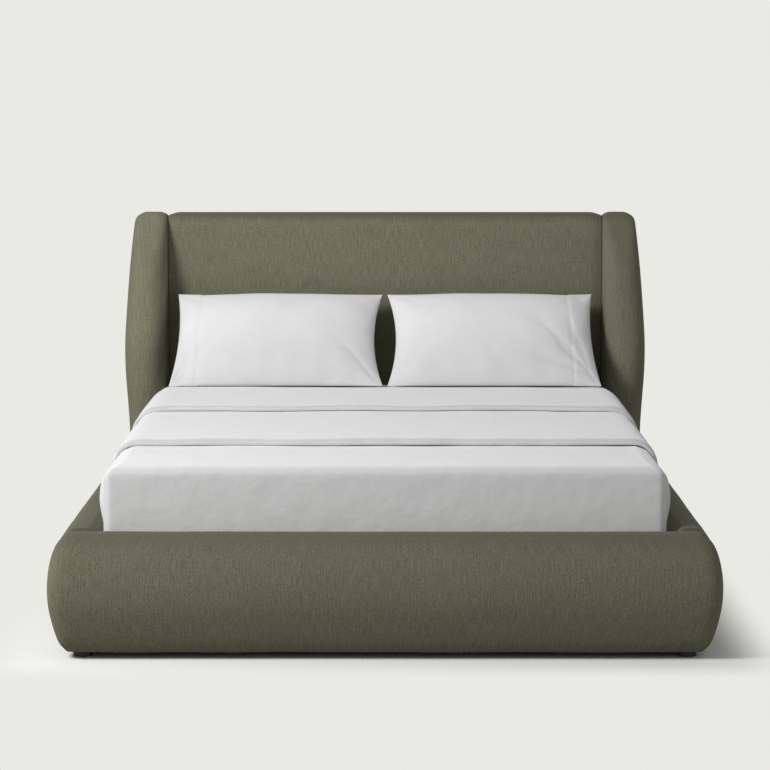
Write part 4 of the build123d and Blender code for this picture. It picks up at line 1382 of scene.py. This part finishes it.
@dataclass
class Studio:
    """The floor, the light and the camera."""

    pixels: int = 770
    focal_pixels: float = 2484.0
    sensor: float = 36.0
    far_clip: float = 200.0
    camera_y: float = -7.7635
    camera_height: float = 1.538
    pitch: float = math.radians(6.75)
    pale: tuple[float, float, float] = (0.823, 0.823, 0.783)
    floor_tone: tuple[float, float, float] = (0.9, 0.9, 0.86)
    bounce_tone: tuple[float, float, float] = (0.34, 0.34, 0.32)
    floor_half: float = 30.0
    bed_half: tuple[float, float] = (0.92, 1.17)
    shadow_reach: float = 0.2
    sky: float = 0.36
    key_place: tuple[float, float, float] = (-3.8, -2.75, 4.2)
    key_aim: tuple[float, float, float] = (0.0, 0.2, 0.4)
    key_size: float = 1.7
    key_watts: float = 265.0

    def camera(self) -> None:
        """The camera at the photograph's place, aimed a little down, with no shift."""
        data = bpy.data.cameras.new("camera")
        data.sensor_width = self.sensor
        data.lens = self.focal_pixels * data.sensor_width / self.pixels
        data.clip_end = self.far_clip
        camera = bpy.data.objects.new("camera", data)
        camera.location = (0, self.camera_y, self.camera_height)
        camera.rotation_euler = (math.pi / 2 - self.pitch, 0, 0)
        bpy.context.scene.collection.objects.link(camera)
        bpy.context.scene.camera = camera

    def floor(self) -> None:
        """A pale floor that fades to the plain background away from the bed."""
        bm = bmesh.new()
        bmesh.ops.create_grid(bm, x_segments=1, y_segments=1, size=self.floor_half)
        material = bpy.data.materials.new("floor")
        material.use_nodes = True
        tree = material.node_tree
        graph = Graph(tree)
        tree.nodes.clear()
        place = graph.add("ShaderNodeTexCoord").outputs["Object"]
        axes = graph.add("ShaderNodeSeparateXYZ", Vector=place)
        outside = []
        for axis, half in (("X", self.bed_half[0]), ("Y", self.bed_half[1])):
            reach = graph.math("ABSOLUTE", axes.outputs[axis], 0.0)
            over = graph.math("MAXIMUM", graph.math("SUBTRACT", reach, half), 0.0)
            outside.append(graph.math("POWER", over, 2.0))
        distance = graph.math("POWER", graph.math("ADD", *outside), 0.5)
        far = graph.add(
            "ShaderNodeMapRange", interpolation_type="SMOOTHSTEP", Value=distance,
            From_Min=0.0, From_Max=self.shadow_reach,
        ).outputs[0]
        seen = graph.add("ShaderNodeLightPath").outputs["Is Camera Ray"]
        tone = graph.blend(seen, (*self.bounce_tone, 1), (*self.floor_tone, 1))
        matt = graph.add("ShaderNodeBsdfDiffuse", Color=tone)
        glow = graph.add("ShaderNodeEmission", Color=(*self.pale, 1), Strength=1.0)
        share = graph.math("MULTIPLY", far, seen)
        mixed = graph.add("ShaderNodeMixShader")
        tree.links.new(share, mixed.inputs[0])
        tree.links.new(matt.outputs[0], mixed.inputs[1])
        tree.links.new(glow.outputs[0], mixed.inputs[2])
        out = graph.add("ShaderNodeOutputMaterial")
        tree.links.new(mixed.outputs[0], out.inputs[0])
        floor = make_piece("floor", bm, material)

    def world(self) -> None:
        """An even sky that the camera sees as the plain background."""
        world = bpy.data.worlds.new("studio")
        bpy.context.scene.world = world
        world.use_nodes = True
        tree = world.node_tree
        graph = Graph(tree)
        tree.nodes.clear()
        rays = graph.add("ShaderNodeLightPath")
        sky = graph.add("ShaderNodeBackground", Color=(1, 1, 1, 1), Strength=self.sky)
        pale = graph.add("ShaderNodeBackground", Color=(*self.pale, 1), Strength=1.0)
        seen = graph.math("MAXIMUM", rays.outputs["Is Camera Ray"], rays.outputs["Is Glossy Ray"])
        seen = graph.math("MAXIMUM", seen, rays.outputs["Is Transmission Ray"])
        mixed = graph.add("ShaderNodeMixShader")
        tree.links.new(seen, mixed.inputs[0])
        tree.links.new(sky.outputs[0], mixed.inputs[1])
        tree.links.new(pale.outputs[0], mixed.inputs[2])
        out = graph.add("ShaderNodeOutputWorld")
        tree.links.new(mixed.outputs[0], out.inputs[0])

    def key(self) -> None:
        """One soft lamp high on the left of the foot, aimed at the bed."""
        data = bpy.data.lights.new("key", "AREA")
        data.size, data.energy = self.key_size, self.key_watts
        lamp = bpy.data.objects.new("key", data)
        lamp.location = self.key_place
        direction = Vector(self.key_aim) - Vector(self.key_place)
        lamp.rotation_euler = direction.to_track_quat("-Z", "Y").to_euler()
        bpy.context.scene.collection.objects.link(lamp)

    def build(self) -> None:
        """Sets the whole studio up."""
        self.camera()
        self.floor()
        self.world()
        self.key()
        bpy.context.scene.view_settings.view_transform = "Standard"


def make_bedding(linen: bpy.types.Material) -> None:
    """Lays the sheet, the cover and the folded layers, each on what the frame gives.

    Args:
        linen: Their finish.
    """
    bedding = Bedding(linen)
    sheet_low, sheet_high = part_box("fitted_sheet")
    cover_low, cover_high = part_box("bed_cover")
    duvet_low, duvet_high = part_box("duvet")
    fold_low, fold_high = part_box("duvet_fold")
    pillow_low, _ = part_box("pillow_left_case")
    sheet_corner, cover_corner = 0.06, 0.008
    sheet_shoulder, cover_shoulder, side_shoulder = 0.018, 0.027, 0.048
    cover_side, foot_half, short_hem = 0.0105, 0.763, 0.02
    duvet_slack, fold_slack = 0.0014, 0.003
    sheet = Layer(
        "fitted_sheet_cloth", half=sheet_high.x, top=sheet_high.z, drop=sheet_high.z - sheet_low.z,
        foot=sheet_low.y, head=sheet_high.y, shoulder=sheet_shoulder, seed=1.0,
    )
    cover = Layer(
        "bed_cover_cloth", half=sheet_high.x + cover_side, top=cover_high.z,
        drop=cover_high.z - cover_low.z, foot=cover_low.y, head=cover_high.y,
        shoulder=cover_shoulder, seed=2.0, pleated=True, front_half=foot_half,
        side_shoulder=side_shoulder,
    )
    duvet = Layer(
        "duvet_cloth", half=cover.half + LAYER_GAP, top=cover.top + LAYER_GAP,
        drop=duvet_high.z - duvet_low.z - short_hem, foot=duvet_low.y, head=duvet_high.y,
        shoulder=side_shoulder, thickness=duvet_high.z - cover_high.z - duvet_slack, seed=3.0,
        side_share=0.55,
    )
    thinned = (1 - duvet.side_share) * duvet.thickness
    side_thickness = duvet.thickness - thinned
    turned_back = Layer(
        "turned_back_cloth", half=duvet.half + side_thickness + 2 * LAYER_GAP, top=duvet_high.z + LAYER_GAP,
        drop=fold_high.z - fold_low.z - short_hem, foot=fold_low.y, head=fold_high.y,
        shoulder=duvet.shoulder + side_thickness + LAYER_GAP,
        thickness=fold_high.z - duvet_high.z - fold_slack, seed=5.0, side_share=0.5,
        sink=thinned, dent=PILLOW_DENT, dent_from=pillow_low.y,
    )
    bedding.boxed(sheet, sheet_corner, "fitted_sheet")
    bedding.boxed(cover, cover_corner, "bed_cover")
    bedding.folded(duvet, "duvet")
    bedding.folded(turned_back, "duvet_fold")


def main() -> None:
    """Builds the bed's cloth, dresses the inner pieces and sets up the studio."""
    logging.basicConfig(level=logging.INFO, format="%(name)s: %(message)s")
    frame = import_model()
    wardrobe = Wardrobe()
    wardrobe.dress(frame)
    cloth, linen = wardrobe.materials["upholstery"], wardrobe.materials["bed_linen"]
    rails = Rails(cloth)
    rails.foot_rail()
    headboard = Headboard(cloth)
    headboard.panel()
    for side in (-1, 1):
        rails.side_rail(side)
        headboard.wing(side)
        Pillow(linen, side).build()
    make_bedding(linen)
    Studio().build()


if __name__ == "__main__":
    main()
